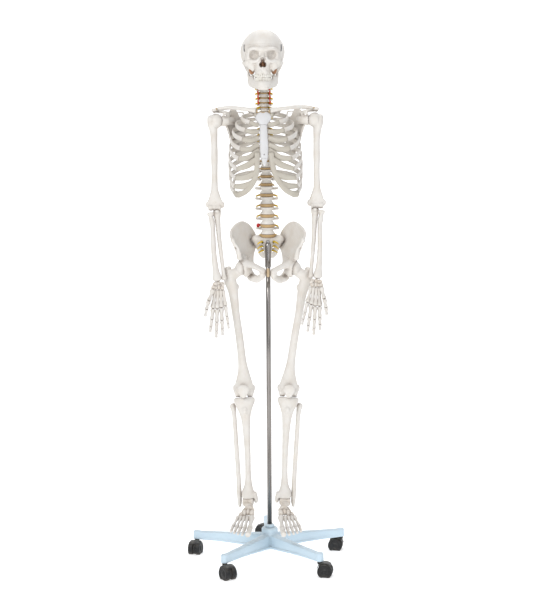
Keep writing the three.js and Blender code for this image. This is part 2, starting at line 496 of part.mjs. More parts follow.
function ulna(side, s) {
  const length = span(ELBOW[side], WRIST[side]);
  const f = (x, y, z) => [s * x, y, z];
  const body = tube([[...f(-10, 17, 12), 7, 5], [...f(-10, 17, 2), 10, 8], [...f(-10, 8, -16), 11, 14], [...f(-11, 3, -34), 8, 9],
    [...f(-12, 3, -90), 6.5, 7], [...f(-14, 3, -160), 5.5, 6], [...f(-17, 2, -length + 26), 5, 5], [...f(-18.5, 1, -length + 13), 8, 8],
    [...f(-18.5, 1, -length + 9), 6, 6]], 6);
  const axle = [ELBOW[side]].flatMap(([x, y, z]) => [[x - 60, y, z], [x + 60, y, z]]);
  return cut(between(body, ELBOW[side], WRIST[side]), rod(...axle, ELBOW_ROOM, 18));
}
function radius(side, s) {
  const length = span(ELBOW[side], WRIST[side]);
  const f = (x, y, z) => [s * x, y, z];
  return between(tube([[...f(14, -1, -13), 9], [...f(14, -1, -21), 10], [...f(13, -1, -28), 6.5], [...f(9, 0, -44), 8],
    [...f(11, 0, -100), 6.5], [...f(12, -1, -160), 7], [...f(8, -1, -length + 36), 10, 7.5], [...f(5, -1, -length + 14), 14.5, 9],
    [...f(5, -1, -length + 8), 13, 8]], 6), ELBOW[side], WRIST[side]);
}
function hand(side, s) {
  const length = span(WRIST[side], FINGERTIP[side]);
  const f = (x, z, y = 0) => [s * x, y, -z];
  const carpus = tube([[...f(2, 1), 17, 8], [...f(0, 14), 22, 10], [...f(0, 32), 24, 9], [...f(0, 42), 22, 7]], 6);
  const fingers = [[12, 26, 94, 168], [3, 6, 94, 1], [-6, -14, 90, 178], [-15, -33, 84, 156]].map(([x0, x1, knuckle, tip]) => {
    const end = tip === 1 ? length : (tip / 188) * length;
    const at = (share, r, y) => [...f(THREE.MathUtils.lerp(x0, x1, share), THREE.MathUtils.lerp(36, end, share), y), r];
    const k = (knuckle - 36) / (end - 36);
    const rest = 1 - k;
    return tube([at(0, 6, 0), at(k * 0.5, 3.2, 1), at(k, 5.2, 0), at(k + rest * 0.25, 3.4, -1), at(k + rest * 0.5, 4.4, -2),
      at(k + rest * 0.78, 3.6, -4), at(1, 3, -6)], 4);
  });
  const thumb = tube([[...f(16, 30, -2), 6], [...f(27, 52, -8), 4], [...f(33, 72, -12), 5.4], [...f(37, 92, -15), 3.6],
    [...f(40, 104, -17), 4.6], [...f(42, 122, -19), 3.2]], 4);
  return between(join(carpus, fingers, thumb), WRIST[side], FINGERTIP[side]);
}
for (const [side, s] of Object.entries(SIDES)) {
  add(`scapula_${side}`, scapula(side, s), bone);
  add(`clavicle_${side}`, clavicle(side, s), bone);
  add(`shoulder_pin_${side}`, ballPin(SHOULDER[side], -s, 29), chrome);
  add(`humerus_${side}`, cut(humerus(side, s), ballRoom(SHOULDER[side], -s)), bone);
  add(`ulna_${side}`, ulna(side, s), bone);
  add(`radius_${side}`, radius(side, s), bone);
  add(`hand_${side}`, hand(side, s), bone);
}

export default model;
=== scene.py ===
# %% [markdown]
# # A teaching skeleton on a wheeled stand
# The CAD frame gives every joint centre and the box of every part. This lesson models each bone on those centres,
# gives it a worn plastic finish, and sets the whole figure on a pale floor under soft studio light.

# %% Frame
import bpy
import bmesh
import json
import math
from mathutils import Matrix, Vector


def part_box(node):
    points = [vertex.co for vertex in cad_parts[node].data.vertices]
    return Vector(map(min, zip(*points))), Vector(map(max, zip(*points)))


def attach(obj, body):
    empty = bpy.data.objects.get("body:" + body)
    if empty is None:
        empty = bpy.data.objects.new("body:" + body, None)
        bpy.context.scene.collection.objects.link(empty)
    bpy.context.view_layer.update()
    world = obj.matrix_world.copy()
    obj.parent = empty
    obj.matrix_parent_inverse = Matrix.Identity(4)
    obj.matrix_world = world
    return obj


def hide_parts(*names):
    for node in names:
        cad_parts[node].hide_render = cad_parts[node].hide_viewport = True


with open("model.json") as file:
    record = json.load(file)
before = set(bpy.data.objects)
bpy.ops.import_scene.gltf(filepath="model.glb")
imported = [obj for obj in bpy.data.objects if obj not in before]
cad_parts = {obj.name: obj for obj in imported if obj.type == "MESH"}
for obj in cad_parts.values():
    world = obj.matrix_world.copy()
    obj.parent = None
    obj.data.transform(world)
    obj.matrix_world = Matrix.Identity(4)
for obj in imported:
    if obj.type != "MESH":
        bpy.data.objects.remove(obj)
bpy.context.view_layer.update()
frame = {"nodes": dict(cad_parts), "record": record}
joints = {j["name"]: j for j in frame["record"]["behaviour"]["joints"]}
SIDES = {"right": -1, "left": 1}

# %% [markdown]
# ## Where things are
# All lengths below are millimetres. A joint's point comes from the frame, and the pole's axis is the turning joint's,
# so trunk pieces are measured from the pole.

# %% Anchors
def joint_at(name):
    return Vector(joints[name]["pos_m"]) * 1000


def node_box(name):
    low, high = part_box(name)
    return Vector(low) * 1000, Vector(high) * 1000


POLE = joint_at("skeleton_turn")
POLE.z = 0
SACRUM_TOP = node_box("sacrum")[1].z
LEAN = (joint_at("head_turn").x - POLE.x) / (joint_at("head_turn").z - SACRUM_TOP)


def mid(z):
    """Sideways place of the trunk's midline at a height, measured from the pole."""
    return LEAN * max(0, z - SACRUM_TOP)


TRUNK = Matrix.Translation(POLE)
print("pole at", tuple(round(v) for v in POLE), "lean", round(LEAN, 4))

# %% [markdown]
# ## Form tools
# A bone is built like clay: lofted tubes and balls are laid over each other, fused by a voxel remesh, hollowed by a
# Boolean where the bone is hollow, and smoothed. Slender pieces are a single loft.

# %% Smooth curve through stations
def spline(rows, steps):
    """Rows of numbers, filled in with a smooth curve through them."""
    out = []
    last = len(rows) - 1
    for i in range(last):
        window = [rows[max(i - 1, 0)], rows[i], rows[i + 1], rows[min(i + 2, last)]]
        for k in range(steps):
            t = k / steps
            out.append([0.5 * (2 * b + (c - a) * t + (2 * a - 5 * b + 4 * c - d) * t ** 2
                               + (3 * b - a - 3 * c + d) * t ** 3) for a, b, c, d in zip(*window)])
    return out + [list(rows[-1])]

print("a curve through 3 stations in 4 steps has", len(spline([[0], [1], [0]], 4)), "points")

# %% [markdown]
# ## Lofted tube
# Most bones are tubes that swell and narrow. A subdivided cylinder could be pulled about, but a circle extruded
# station by station keeps every width and depth as a number that can be read and changed.

# %% Lofted tube
def loft(rows, sides=14, hint=(1, 0, 0), steps=3, square=False):
    """A closed tube through stations (x, y, z, half width, half depth), its width along hint.

    A square tube has flat sides square to hint instead of edges.
    """
    def make(bm):
        full = spline([list(r[:4]) + [r[4] if len(r) > 4 else r[3]] for r in rows], steps)
        ring = bmesh.ops.create_circle(bm, radius=1, segments=sides)["verts"]
        edges = list({e for v in ring for e in v.link_edges})
        ends, rings = [edges], [ring]
        for _ in full[1:]:
            made = bmesh.ops.extrude_edge_only(bm, edges=edges)["geom"]
            ring = [g for g in made if isinstance(g, bmesh.types.BMVert)]
            inside = set(ring)
            edges = [g for g in made if isinstance(g, bmesh.types.BMEdge) and inside.issuperset(g.verts)]
            rings.append(ring)
        for loop in (ends[0], edges):
            bmesh.ops.edgeloop_fill(bm, edges=loop)
        points = [Vector(r[:3]) for r in full]
        for k, ring in enumerate(rings):
            along = (points[min(k + 1, len(points) - 1)] - points[max(k - 1, 0)]).normalized()
            across = (Vector(hint) - along * Vector(hint).dot(along)).normalized()
            deep = along.cross(across)
            for v in ring:
                x, y = (v.co.x - v.co.y, v.co.x + v.co.y) if square else v.co[:2]
                v.co = points[k] + across * x * abs(full[k][3]) + deep * y * abs(full[k][4])
    return make

# %% [markdown]
# ## Simple masses
# Condyles, heads and tubercles are near to ellipsoids. Balls and blocks laid over a tube cost nothing, because the
# remesh fuses them.

# %% Ball
def ball(centre, radii, turn=(0, 0, 0), fine=20):
    """An ellipsoid, turned by degrees about x, y and z."""
    size = radii if isinstance(radii, (tuple, list)) else (radii,) * 3
    def make(bm):
        spin = Matrix.Rotation(math.radians(turn[2]), 4, "Z") @ Matrix.Rotation(math.radians(turn[1]), 4, "Y") \
            @ Matrix.Rotation(math.radians(turn[0]), 4, "X")
        shape = Matrix.Translation(centre) @ spin @ Matrix.Diagonal((*size, 1))
        bmesh.ops.create_uvsphere(bm, u_segments=fine, v_segments=fine * 2 // 3, radius=1, matrix=shape)
    return make

# %% Block
def block(centre, size):
    def make(bm):
        bmesh.ops.create_cube(bm, size=1, matrix=Matrix.Translation(centre) @ Matrix.Diagonal((*size, 1)))
    return make

# %% [markdown]
# ## Carrying and mirroring parts
# The left and right bones are mirror images. A Mirror modifier would tie the two into one object, but each must ride
# on its own body, so the parts are drawn once and carried over by a matrix.

# %% Carried and mirrored parts
def moved(matrix, parts):
    """Parts carried by a matrix."""
    def make(bm):
        own = bmesh.new()
        for part in parts:
            part(own)
        bmesh.ops.transform(own, matrix=matrix, verts=own.verts)
        mesh = bpy.data.meshes.new("moved")
        own.to_mesh(mesh)
        own.free()
        bm.from_mesh(mesh)
        bpy.data.meshes.remove(mesh)
    return make


def mirrored(s, parts):
    """Parts drawn with outward along +x, turned into that side's."""
    return moved(Matrix.Diagonal((s, 1, 1, 1)), parts)

# %% Turned form
def spun(profile, axis_at, axis=(0, 0, 1), sides=32):
    """A turned form: a profile of (radius, height) spun about an axis."""
    def turned(bm):
        line = [bm.verts.new((r, 0, h)) for r, h in profile]
        edges = [bm.edges.new(pair) for pair in zip(line, line[1:])]
        bmesh.ops.spin(bm, geom=line + edges, cent=(0, 0, 0), axis=(0, 0, 1), angle=2 * math.pi, steps=sides,
            use_merge=True, use_duplicate=False)
        bmesh.ops.remove_doubles(bm, verts=bm.verts, dist=0.001)
    turn = Vector((0, 0, 1)).rotation_difference(Vector(axis)).to_matrix().to_4x4()
    return moved(Matrix.Translation(axis_at) @ turn, [turned])

# %% [markdown]
# ## From parts to an object
# All the parts go into one mesh, in millimetres, and the last step carries them to their place in metres, so that
# each object stays at the origin as the CAD nodes do.

# %% Mesh object
def raw(name, parts, place=Matrix()):
    """One mesh object from the parts, carried from millimetres to its place in metres."""
    bm = bmesh.new()
    for part in parts:
        part(bm)
    bmesh.ops.transform(bm, matrix=Matrix.Scale(0.001, 4) @ place, verts=bm.verts)
    bmesh.ops.recalc_face_normals(bm, faces=bm.faces)
    mesh = bpy.data.meshes.new(name)
    bm.to_mesh(mesh)
    bm.free()
    obj = bpy.data.objects.new(name, mesh)
    bpy.context.scene.collection.objects.link(obj)
    return obj

# %% Finished mesh
def settle(obj):
    """The object's mesh as its modifiers leave it, with smooth shading."""
    graph = bpy.context.evaluated_depsgraph_get()
    mesh = bpy.data.meshes.new_from_object(obj.evaluated_get(graph))
    old = obj.data
    obj.modifiers.clear()
    obj.data = mesh
    bpy.data.meshes.remove(old)
    mesh.shade_smooth()
    return obj


def remesh(obj, voxel):
    step = obj.modifiers.new("skin", "REMESH")
    step.mode = "VOXEL"
    step.voxel_size = voxel / 1000

# %% [markdown]
# ## Clay
# A cast bone has no seams between its masses. A Boolean union would leave sharp creases where two masses meet, so
# they are fused by a voxel remesh, hollowed by one Boolean, and smoothed a little.

# %% Clay
def clay(name, adds, cuts=(), place=Matrix(), voxel=1.7, smooth=4):
    """The parts fused into one skin, less the cuts, smoothed."""
    obj = raw(name, adds, place)
    remesh(obj, voxel)
    tool = None
    if cuts:
        tool = raw(name + "_tool", cuts, place)
        remesh(tool, voxel)
        step = obj.modifiers.new("hollow", "BOOLEAN")
        step.operation, step.object, step.solver = "DIFFERENCE", tool, "MANIFOLD"
        remesh(obj, voxel)
    soften = obj.modifiers.new("soften", "SMOOTH")
    soften.factor, soften.iterations = 0.5, smooth
    settle(obj)
    if tool:
        bpy.data.objects.remove(tool)
    return obj

# %% Single form
def single(name, parts, place=Matrix()):
    """A piece shown as it was lofted."""
    obj = raw(name, parts, place)
    obj.data.shade_smooth()
    return obj

# %% Wearing a finish
# Every piece gets its material and its body in one call, which also hides the CAD nodes that it stands for.
pieces = []


def wear(obj, material, body, *nodes, slot="bone_plastic"):
    """Gives a piece its finish and its body, and hides the CAD nodes that it stands for."""
    obj.data.materials.clear()
    obj.data.materials.append(material)
    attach(obj, body)
    if nodes:
        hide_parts(*nodes)
    pieces.append(obj)
    return obj


print("form tools ready, pieces so far", len(pieces))

# %% [markdown]
# ## Shader groups
# Each effect is one node group that gives a colour, a mask or a normal. Every material below is made from them, so
# the bones share one look: cloudy tone, fine specks, painted shade in the hollows and a slightly grained skin.

# %% Group and node helpers
def group(name, inputs, outputs):
    tree = bpy.data.node_groups.new(name, "ShaderNodeTree")
    kinds = {"colour": "NodeSocketColor", "value": "NodeSocketFloat", "normal": "NodeSocketVector"}
    for label, kind, default in inputs:
        socket = tree.interface.new_socket(label, in_out="INPUT", socket_type=kinds[kind])
        socket.default_value = default
    for label, kind in outputs:
        tree.interface.new_socket(label, in_out="OUTPUT", socket_type=kinds[kind])
    return tree, tree.nodes.new("NodeGroupInput"), tree.nodes.new("NodeGroupOutput")


def node(tree, kind, links=(), **values):
    """A shader node with its values set, fed from (input, socket) pairs."""
    made = tree.nodes.new("ShaderNode" + kind)
    for key, value in values.items():
        label = key.replace("_", " ")
        if label in made.inputs:
            made.inputs[label].default_value = value
        else:
            setattr(made, key, value)
    for label, socket in links:
        tree.links.new(socket, made.inputs[label])
    return made


def ramp(tree, socket, low, high):
    made = node(tree, "MapRange", [("Value", socket)])
    made.inputs["From Min"].default_value = low
    made.inputs["From Max"].default_value = high
    return made.outputs["Result"]

# %% [markdown]
# ## Mottle
# Moulded bone plastic drifts slowly between a pale tone and a warmer one. One soft noise mixes the two.

# %% Mottle
def mottle_group():
    """Slow drift between two tones, as in hand-tinted plastic."""
    tree, gin, gout = group("Mottle", [("Tone", "colour", (0.8, 0.8, 0.8, 1)),
        ("Stain", "colour", (0.7, 0.6, 0.4, 1)), ("Size", "value", 30.0), ("Amount", "value", 0.4)],
        [("Colour", "colour")])
    where = node(tree, "TexCoord").outputs["Object"]
    clouds = node(tree, "TexNoise", [("Vector", where), ("Scale", gin.outputs["Size"])], Detail=6.0, Roughness=0.6)
    share = node(tree, "Math", [(0, ramp(tree, clouds.outputs["Fac"], 0.42, 0.72)), (1, gin.outputs["Amount"])],
        operation="MULTIPLY")
    mix = node(tree, "MixRGB", [("Fac", share.outputs[0]), ("Color1", gin.outputs["Tone"]),
        ("Color2", gin.outputs["Stain"])])
    tree.links.new(mix.outputs["Color"], gout.inputs["Colour"])
    return tree

# %% [markdown]
# ## Hollow shade and grime
# Painted shade lies in the pits: ambient occlusion finds them, and a finer noise breaks the mask up, because a clean
# mask looks airbrushed. The tone mixed in is dark shade on bone, paint and metal, and paler grime on black nylon.

# %% Hollow shade and grime
def hollow_group():
    """A mask of painted shade and grime, 1 deep in hollows, broken up by noise."""
    tree, gin, gout = group("HollowShadeAndGrime", [("Reach", "value", 0.012), ("Amount", "value", 1.0)], [("Mask", "value")])
    near = node(tree, "AmbientOcclusion", [("Distance", gin.outputs["Reach"])], samples=4)
    where = node(tree, "TexCoord").outputs["Object"]
    breakup_noise = node(tree, "TexNoise", [("Vector", where)], Scale=160.0, Detail=4.0)
    dark = node(tree, "Math", [(1, near.outputs["AO"])], operation="SUBTRACT")
    dark.inputs[0].default_value = 1.0
    broken = node(tree, "Math", [(0, dark.outputs[0]), (1, ramp(tree, breakup_noise.outputs["Fac"], 0.2, 0.6))],
        operation="MULTIPLY")
    scaled = node(tree, "Math", [(0, broken.outputs[0]), (1, gin.outputs["Amount"])], operation="MULTIPLY")
    scaled.use_clamp = True
    tree.links.new(scaled.outputs[0], gout.inputs["Mask"])
    return tree

# %% [markdown]
# ## Specks
# Small dark specks come from dust in the mould. Voronoi cells give round dots, thinned out by noise.

# %% Specks
def speck_group():
    """Small scattered specks."""
    tree, gin, gout = group("Specks", [("Density", "value", 220.0), ("Amount", "value", 0.5)], [("Mask", "value")])
    where = node(tree, "TexCoord").outputs["Object"]
    cells = node(tree, "TexVoronoi", [("Vector", where), ("Scale", gin.outputs["Density"])])
    dots = ramp(tree, cells.outputs["Distance"], 0.16, 0.05)
    some = node(tree, "TexNoise", [("Vector", where)], Scale=45.0)
    kept = node(tree, "Math", [(0, dots), (1, ramp(tree, some.outputs["Fac"], 0.5, 0.62))], operation="MULTIPLY")
    scaled = node(tree, "Math", [(0, kept.outputs[0]), (1, gin.outputs["Amount"])], operation="MULTIPLY")
    tree.links.new(scaled.outputs[0], gout.inputs["Mask"])
    return tree

# %% [markdown]
# ## Skin
# Cast plastic is never quite flat. Two bumps of different size are laid over each other, as a single one looks even.

# %% Skin
def skin_group():
    """A fine grained normal over a slower waviness."""
    tree, gin, gout = group("Skin", [("Grain", "value", 700.0), ("Depth", "value", 0.15)], [("Normal", "normal")])
    where = node(tree, "TexCoord").outputs["Object"]
    fine = node(tree, "TexNoise", [("Vector", where), ("Scale", gin.outputs["Grain"])], Detail=3.0)
    slow = node(tree, "TexNoise", [("Vector", where)], Scale=70.0, Detail=2.0)
    under = node(tree, "Bump", [("Height", slow.outputs["Fac"]), ("Strength", gin.outputs["Depth"])], Distance=0.0012)
    over = node(tree, "Bump", [("Height", fine.outputs["Fac"]), ("Strength", gin.outputs["Depth"]),
        ("Normal", under.outputs["Normal"])], Distance=0.0004)
    tree.links.new(over.outputs["Normal"], gout.inputs["Normal"])
    return tree

# %% [markdown]
# ## Worn edges
# Paint and nylon wear where hands and floors touch them. The Bevel node's normal leaves the true one at an edge, and
# the angle between the two makes the mask.

# %% Edges
def edge_group():
    """A mask on worn edges."""
    tree, gin, gout = group("Edges", [("Radius", "value", 0.0015), ("Amount", "value", 1.0)], [("Mask", "value")])
    round_off = node(tree, "Bevel", [("Radius", gin.outputs["Radius"])], samples=4)
    face = node(tree, "NewGeometry")
    turn = node(tree, "VectorMath", [(0, round_off.outputs["Normal"]), (1, face.outputs["Normal"])],
        operation="DOT_PRODUCT")
    edge = ramp(tree, turn.outputs["Value"], 0.985, 0.9)
    where = node(tree, "TexCoord").outputs["Object"]
    patch = node(tree, "TexNoise", [("Vector", where)], Scale=90.0, Detail=5.0)
    kept = node(tree, "Math", [(0, edge), (1, ramp(tree, patch.outputs["Fac"], 0.45, 0.6))], operation="MULTIPLY")
    scaled = node(tree, "Math", [(0, kept.outputs[0]), (1, gin.outputs["Amount"])], operation="MULTIPLY")
    tree.links.new(scaled.outputs[0], gout.inputs["Mask"])
    return tree

# %% [markdown]
# ## Dust
# Dust lies on faces that look up, in patches.

# %% Dust
def dust_group():
    """A mask of dust lying on what faces up."""
    tree, gin, gout = group("Dust", [("Amount", "value", 0.5)], [("Mask", "value")])
    face = node(tree, "NewGeometry")
    up = node(tree, "SeparateXYZ", [("Vector", face.outputs["Normal"])])
    where = node(tree, "TexCoord").outputs["Object"]
    patch = node(tree, "TexNoise", [("Vector", where)], Scale=55.0, Detail=6.0)
    lying = node(tree, "Math", [(0, ramp(tree, up.outputs["Z"], 0.3, 1.0)),
        (1, ramp(tree, patch.outputs["Fac"], 0.35, 0.7))], operation="MULTIPLY")
    scaled = node(tree, "Math", [(0, lying.outputs[0]), (1, gin.outputs["Amount"])], operation="MULTIPLY")
    tree.links.new(scaled.outputs[0], gout.inputs["Mask"])
    return tree

# %% All groups
GROUPS = {tree.name: tree for tree in (mottle_group(), hollow_group(), speck_group(), skin_group(), edge_group(),
    dust_group())}
print("groups", sorted(GROUPS))

# %% [markdown]
# ## Materials
# One recipe serves every finish: a mottled tone, with painted shade in its hollows (paler grime on black nylon),
# specked, lightened at worn edges, dusted on top, with a roughness that follows the same masks.

# %% Colour and group helpers
def srgb(r, g, b):
    return tuple((c / 255) ** 2.2 for c in (r, g, b)) + (1,)


def use(tree, name, links=(), **values):
    made = tree.nodes.new("ShaderNodeGroup")
    made.node_tree = GROUPS[name]
    for label, value in values.items():
        made.inputs[label].default_value = value
    for label, socket in links:
        tree.links.new(socket, made.inputs[label])
    return made

# %% Finish recipe
DUST_TONE = srgb(176, 170, 160)
ROUGHER_BY = 0.35


def finish(name, tone, stain, hollow_shade_and_grime_tone, rough=0.5, metal=0.0, mottle=0.4, size=30.0, hollow_shade_and_grime=0.8, reach=0.012, specks=0.3,
        grain=700.0, depth=0.15, worn=None, wear_amount=0.0, dust=0.0, coat=0.0, glow=0.0):
    """A Principled material made from the shared groups."""
    mat = bpy.data.materials.new(name)
    mat.use_nodes = True
    tree = mat.node_tree
    skin = tree.nodes["Principled BSDF"]
    colour = use(tree, "Mottle", Tone=tone, Stain=stain, Size=size, Amount=mottle).outputs["Colour"]
    # The hollow mask mixes in painted shade: a dark tone on bone, paint and metal; the paler tone on black nylon is
    # grime.
    layers = [("HollowShadeAndGrime", hollow_shade_and_grime_tone, dict(Reach=reach, Amount=hollow_shade_and_grime)), ("Specks", stain, dict(Amount=specks))]
    if worn:
        layers.append(("Edges", worn, dict(Amount=wear_amount)))
    if dust:
        layers.append(("Dust", DUST_TONE, dict(Amount=dust)))
    masks = []
    for label, over, values in layers:
        mask = use(tree, label, **values).outputs["Mask"]
        mix = node(tree, "MixRGB", [("Fac", mask), ("Color1", colour)])
        mix.inputs["Color2"].default_value = over
        colour = mix.outputs["Color"]
        masks.append(mask)
    rougher = node(tree, "MapRange", [("Value", masks[-1] if dust else masks[0])])
    rougher.inputs["To Min"].default_value = rough
    rougher.inputs["To Max"].default_value = min(1.0, rough + ROUGHER_BY)
    tree.links.new(colour, skin.inputs["Base Color"])
    tree.links.new(rougher.outputs["Result"], skin.inputs["Roughness"])
    tree.links.new(use(tree, "Skin", Grain=grain, Depth=depth).outputs["Normal"], skin.inputs["Normal"])
    skin.inputs["Metallic"].default_value = metal
    skin.inputs["Coat Weight"].default_value = coat
    if glow:
        skin.inputs["Subsurface Weight"].default_value = glow
        skin.inputs["Subsurface Radius"].default_value = (0.004, 0.0025, 0.0015)
    return mat

# %% [markdown]
# ## Bone finishes
# Long bones are an even off-white, and the small bones of wrist and ankle are warmer and blotchier. The breastbone is
# a cooler white than the grey cartilage that runs into it.

# %% Bone finishes
# The third colour of each finish is the painted shade mixed into its hollows.
BONE = finish("bone_plastic", srgb(222, 218, 212), srgb(206, 195, 180), srgb(116, 92, 72), rough=0.42, mottle=0.45,
    hollow_shade_and_grime=1.0, reach=0.016, specks=0.2)
BONE_END = finish("bone_end_plastic", srgb(220, 213, 204), srgb(200, 182, 160), srgb(108, 80, 56), rough=0.42,
    mottle=0.6, hollow_shade_and_grime=0.8, size=55.0)
STERNUM = finish("sternum_plastic", srgb(217, 217, 218), srgb(202, 199, 196), srgb(120, 108, 100), rough=0.5)
CARTILAGE = finish("cartilage_plastic", srgb(188, 182, 170), srgb(172, 162, 146), srgb(104, 90, 72), rough=0.48)

# %% [markdown]
# ## Soft tissue finishes
# Discs, nerves and arteries are hard plastic too, hand painted: tan, yellow and red. The slipped disc is glossy, so
# it gets a coat.

# %% Soft tissue finishes
# As above, the third colour of each finish is painted shade in its hollows.
DISC = finish("disc_plastic", srgb(190, 160, 116), srgb(160, 124, 80), srgb(96, 68, 42), rough=0.5, mottle=0.5)
GRISTLE = finish("gristle_plastic", srgb(196, 174, 140), srgb(168, 140, 104), srgb(96, 72, 50), rough=0.5, mottle=0.5)
NERVE = finish("nerve_plastic", srgb(222, 186, 34), srgb(190, 140, 20), srgb(110, 76, 12), rough=0.42, mottle=0.3)
ARTERY = finish("artery_plastic", srgb(212, 78, 44), srgb(176, 44, 28), srgb(70, 12, 8), rough=0.38, mottle=0.3)
PROLAPSE = finish("prolapse_plastic", srgb(176, 22, 16), srgb(130, 10, 10), srgb(60, 6, 6), rough=0.3, coat=0.3)
TOOTH = finish("tooth_plastic", srgb(226, 223, 215), srgb(208, 200, 184), srgb(112, 84, 60), rough=0.28, coat=0.3,
    reach=0.004)
# The brown of the sheets in the nose and behind the cheek bones is painted shade, where those recesses fall dark.
SHADE_SHEET = finish("painted_shade_sheet", srgb(168, 124, 92), srgb(130, 88, 60), srgb(70, 44, 28), rough=0.6)

# %% [markdown]
# ## Stand finishes
# The pole is chromed steel, the star is powder coated in pale blue, and the castors are black nylon with a duller
# tread. Those three take scuffs and dust, which the bones above them don't.

# %% Stand finishes
# The third colour is painted shade in the hollows of chrome, paint and steel; on the black nylon and tread it is
# paler and stands for grime.
CHROME = finish("chromed_steel", srgb(150, 146, 143), srgb(128, 124, 121), srgb(70, 64, 60), rough=0.16, metal=1.0,
    mottle=0.25, size=14.0, hollow_shade_and_grime=0.5, specks=0.15, depth=0.02)
PAINT = finish("base_paint", srgb(200, 220, 233), srgb(184, 206, 221), srgb(96, 104, 110), rough=0.36, mottle=0.3,
    size=12.0, hollow_shade_and_grime=0.7, grain=420.0, depth=0.12, worn=srgb(150, 152, 154), wear_amount=0.5, dust=0.25, specks=0.1)
NYLON = finish("castor_plastic", srgb(20, 21, 26), srgb(32, 33, 38), srgb(96, 92, 86), rough=0.42, mottle=0.5,
    worn=srgb(90, 90, 92), wear_amount=0.6, dust=0.35, specks=0.2)
TREAD = finish("castor_tread", srgb(16, 17, 21), srgb(34, 34, 36), srgb(110, 104, 96), rough=0.55, mottle=0.7,
    size=60.0, worn=srgb(120, 116, 108), wear_amount=0.8, dust=0.3, specks=0.4)
STEEL = finish("steel_fitting", srgb(168, 168, 170), srgb(140, 138, 134), srgb(70, 64, 56), rough=0.3, metal=1.0,
    mottle=0.4, hollow_shade_and_grime=0.8, depth=0.05)
print("materials", len(bpy.data.materials))

# %% [markdown]
# ## Stand
# The shoulder and hip pins are already right as the CAD made them, so they keep their meshes and get a finish. What
# the eye rests on, the pole, sleeve, star and castors, is modelled again with its rims and ribs.

# %% Kept CAD nodes
def keep(material, *names):
    for name in names:
        obj = frame["nodes"][name]
        obj.data.materials.clear()
        obj.data.materials.append(material)
        for poly in obj.data.polygons:
            poly.material_index = 0


keep(CHROME, "pole", "pelvis_sleeve", *(f"{j}_pin_{s}" for j in ("shoulder", "hip") for s in SIDES))
HUB_TOP = node_box("base_star")[1].z
CASTORS = range(1, 6)

# %% [markdown]
# ## Pole and sleeve
# A chromed tube stands in the hub, and a sleeve with a rounded top turns on it and carries the pelvis. Both are
# turned parts, so a profile is spun about the pole's axis, with the bevelled rims that catch the light.

# %% Pole and sleeve
POLE_RADIUS = 8
SLEEVE_BORE = 8.7
SLEEVE_RADIUS = 10.4
pole_top = node_box("pole")[1].z
wear(single("pole_tube", [spun([(0, pole_top), (6.6, pole_top), (POLE_RADIUS, pole_top - 1.6), (POLE_RADIUS, 58),
    (0, 58)], (0, 0, 0))], TRUNK), CHROME, "base", "pole", slot="chromed_steel")
sleeve_low, sleeve_high = (b.z for b in node_box("pelvis_sleeve"))
wear(single("sleeve_tube",
    [spun([(SLEEVE_BORE, sleeve_low), (9.9, sleeve_low), (SLEEVE_RADIUS, sleeve_low + 2), (10.5, sleeve_high - 8),
    (9.2, sleeve_high - 4), (6.4, sleeve_high), (0, sleeve_high)], (0, 0, 0)),
    spun([(SLEEVE_BORE, sleeve_low), (SLEEVE_BORE, sleeve_high - 11), (0, sleeve_high - 11)], (0, 0, 0))], TRUNK),
    CHROME, "trunk", "pelvis_sleeve", slot="chromed_steel")

# %% Nut, screw and collar
wear(single("sleeve_cap_nut",
    [spun([(0, 0), (5.4, 0), (6.2, 1.5), (6.2, 5), (4.6, 8), (0, 9)], (0, 0, sleeve_high - 1), sides=24)], TRUNK),
    STEEL, "trunk", slot="chromed_steel")
wear(single("sleeve_screw", [spun([(0, 0), (3.4, 0), (3.4, 1.6), (2.8, 2.4), (1.4, 2.4), (1.4, 1), (0, 1)],
    (0, -10.3, sleeve_high - 12), axis=(0, -1, 0), sides=20)], TRUNK), STEEL, "trunk", slot="chromed_steel")
wear(single("hub_collar", [spun([(8.2, 0), (15, 0), (15.6, 1), (15.6, 8), (14, 10.5), (9.6, 12), (8.2, 12)],
    (0, 0, HUB_TOP - 0.5))], TRUNK), PAINT, "base", slot="base_paint")

# %% [markdown]
# ## Star
# The foot is one casting: a round hub with five hollow-sided arms, each with a flat foot and a raised spine, and a
# socket at the tip for the castor's stem. The arms are square lofts, so they taper in width and height at once.

# %% Arm of the star
def arm_shapes(tip):
    """One tapered arm of the star, with its raised spine and flat foot, out to a castor's stem."""
    flat = Vector((tip.x, tip.y, 0))
    reach, out = flat.length, flat.normalized()
    side = (-out.y, out.x, 0)
    def row(t, z, w, d):
        p = out * reach * t
        return (p.x, p.y, z, w, d)
    body = loft([row(0.04, 70, 17, 23), row(0.3, 69.4, 14, 19.6), row(0.6, 69.2, 11.6, 16), row(0.82, 69.4, 10.4, 14),
        row(0.99, 69.4, 10, 13)], sides=4, hint=side, square=True)
    under = loft([row(0.04, 51, 25, 4), row(0.3, 53, 19.6, 3.4), row(0.6, 56.4, 14.6, 3), row(0.98, 58, 11.4, 2.6)],
        sides=4, hint=side, square=True)
    lip = loft([row(0.06, 92, 9, 3), row(0.3, 88, 8, 3), row(0.6, 84.6, 7, 2.6), row(0.98, 81.6, 6, 2.4)], sides=12,
        hint=side)
    return [body, under, lip]

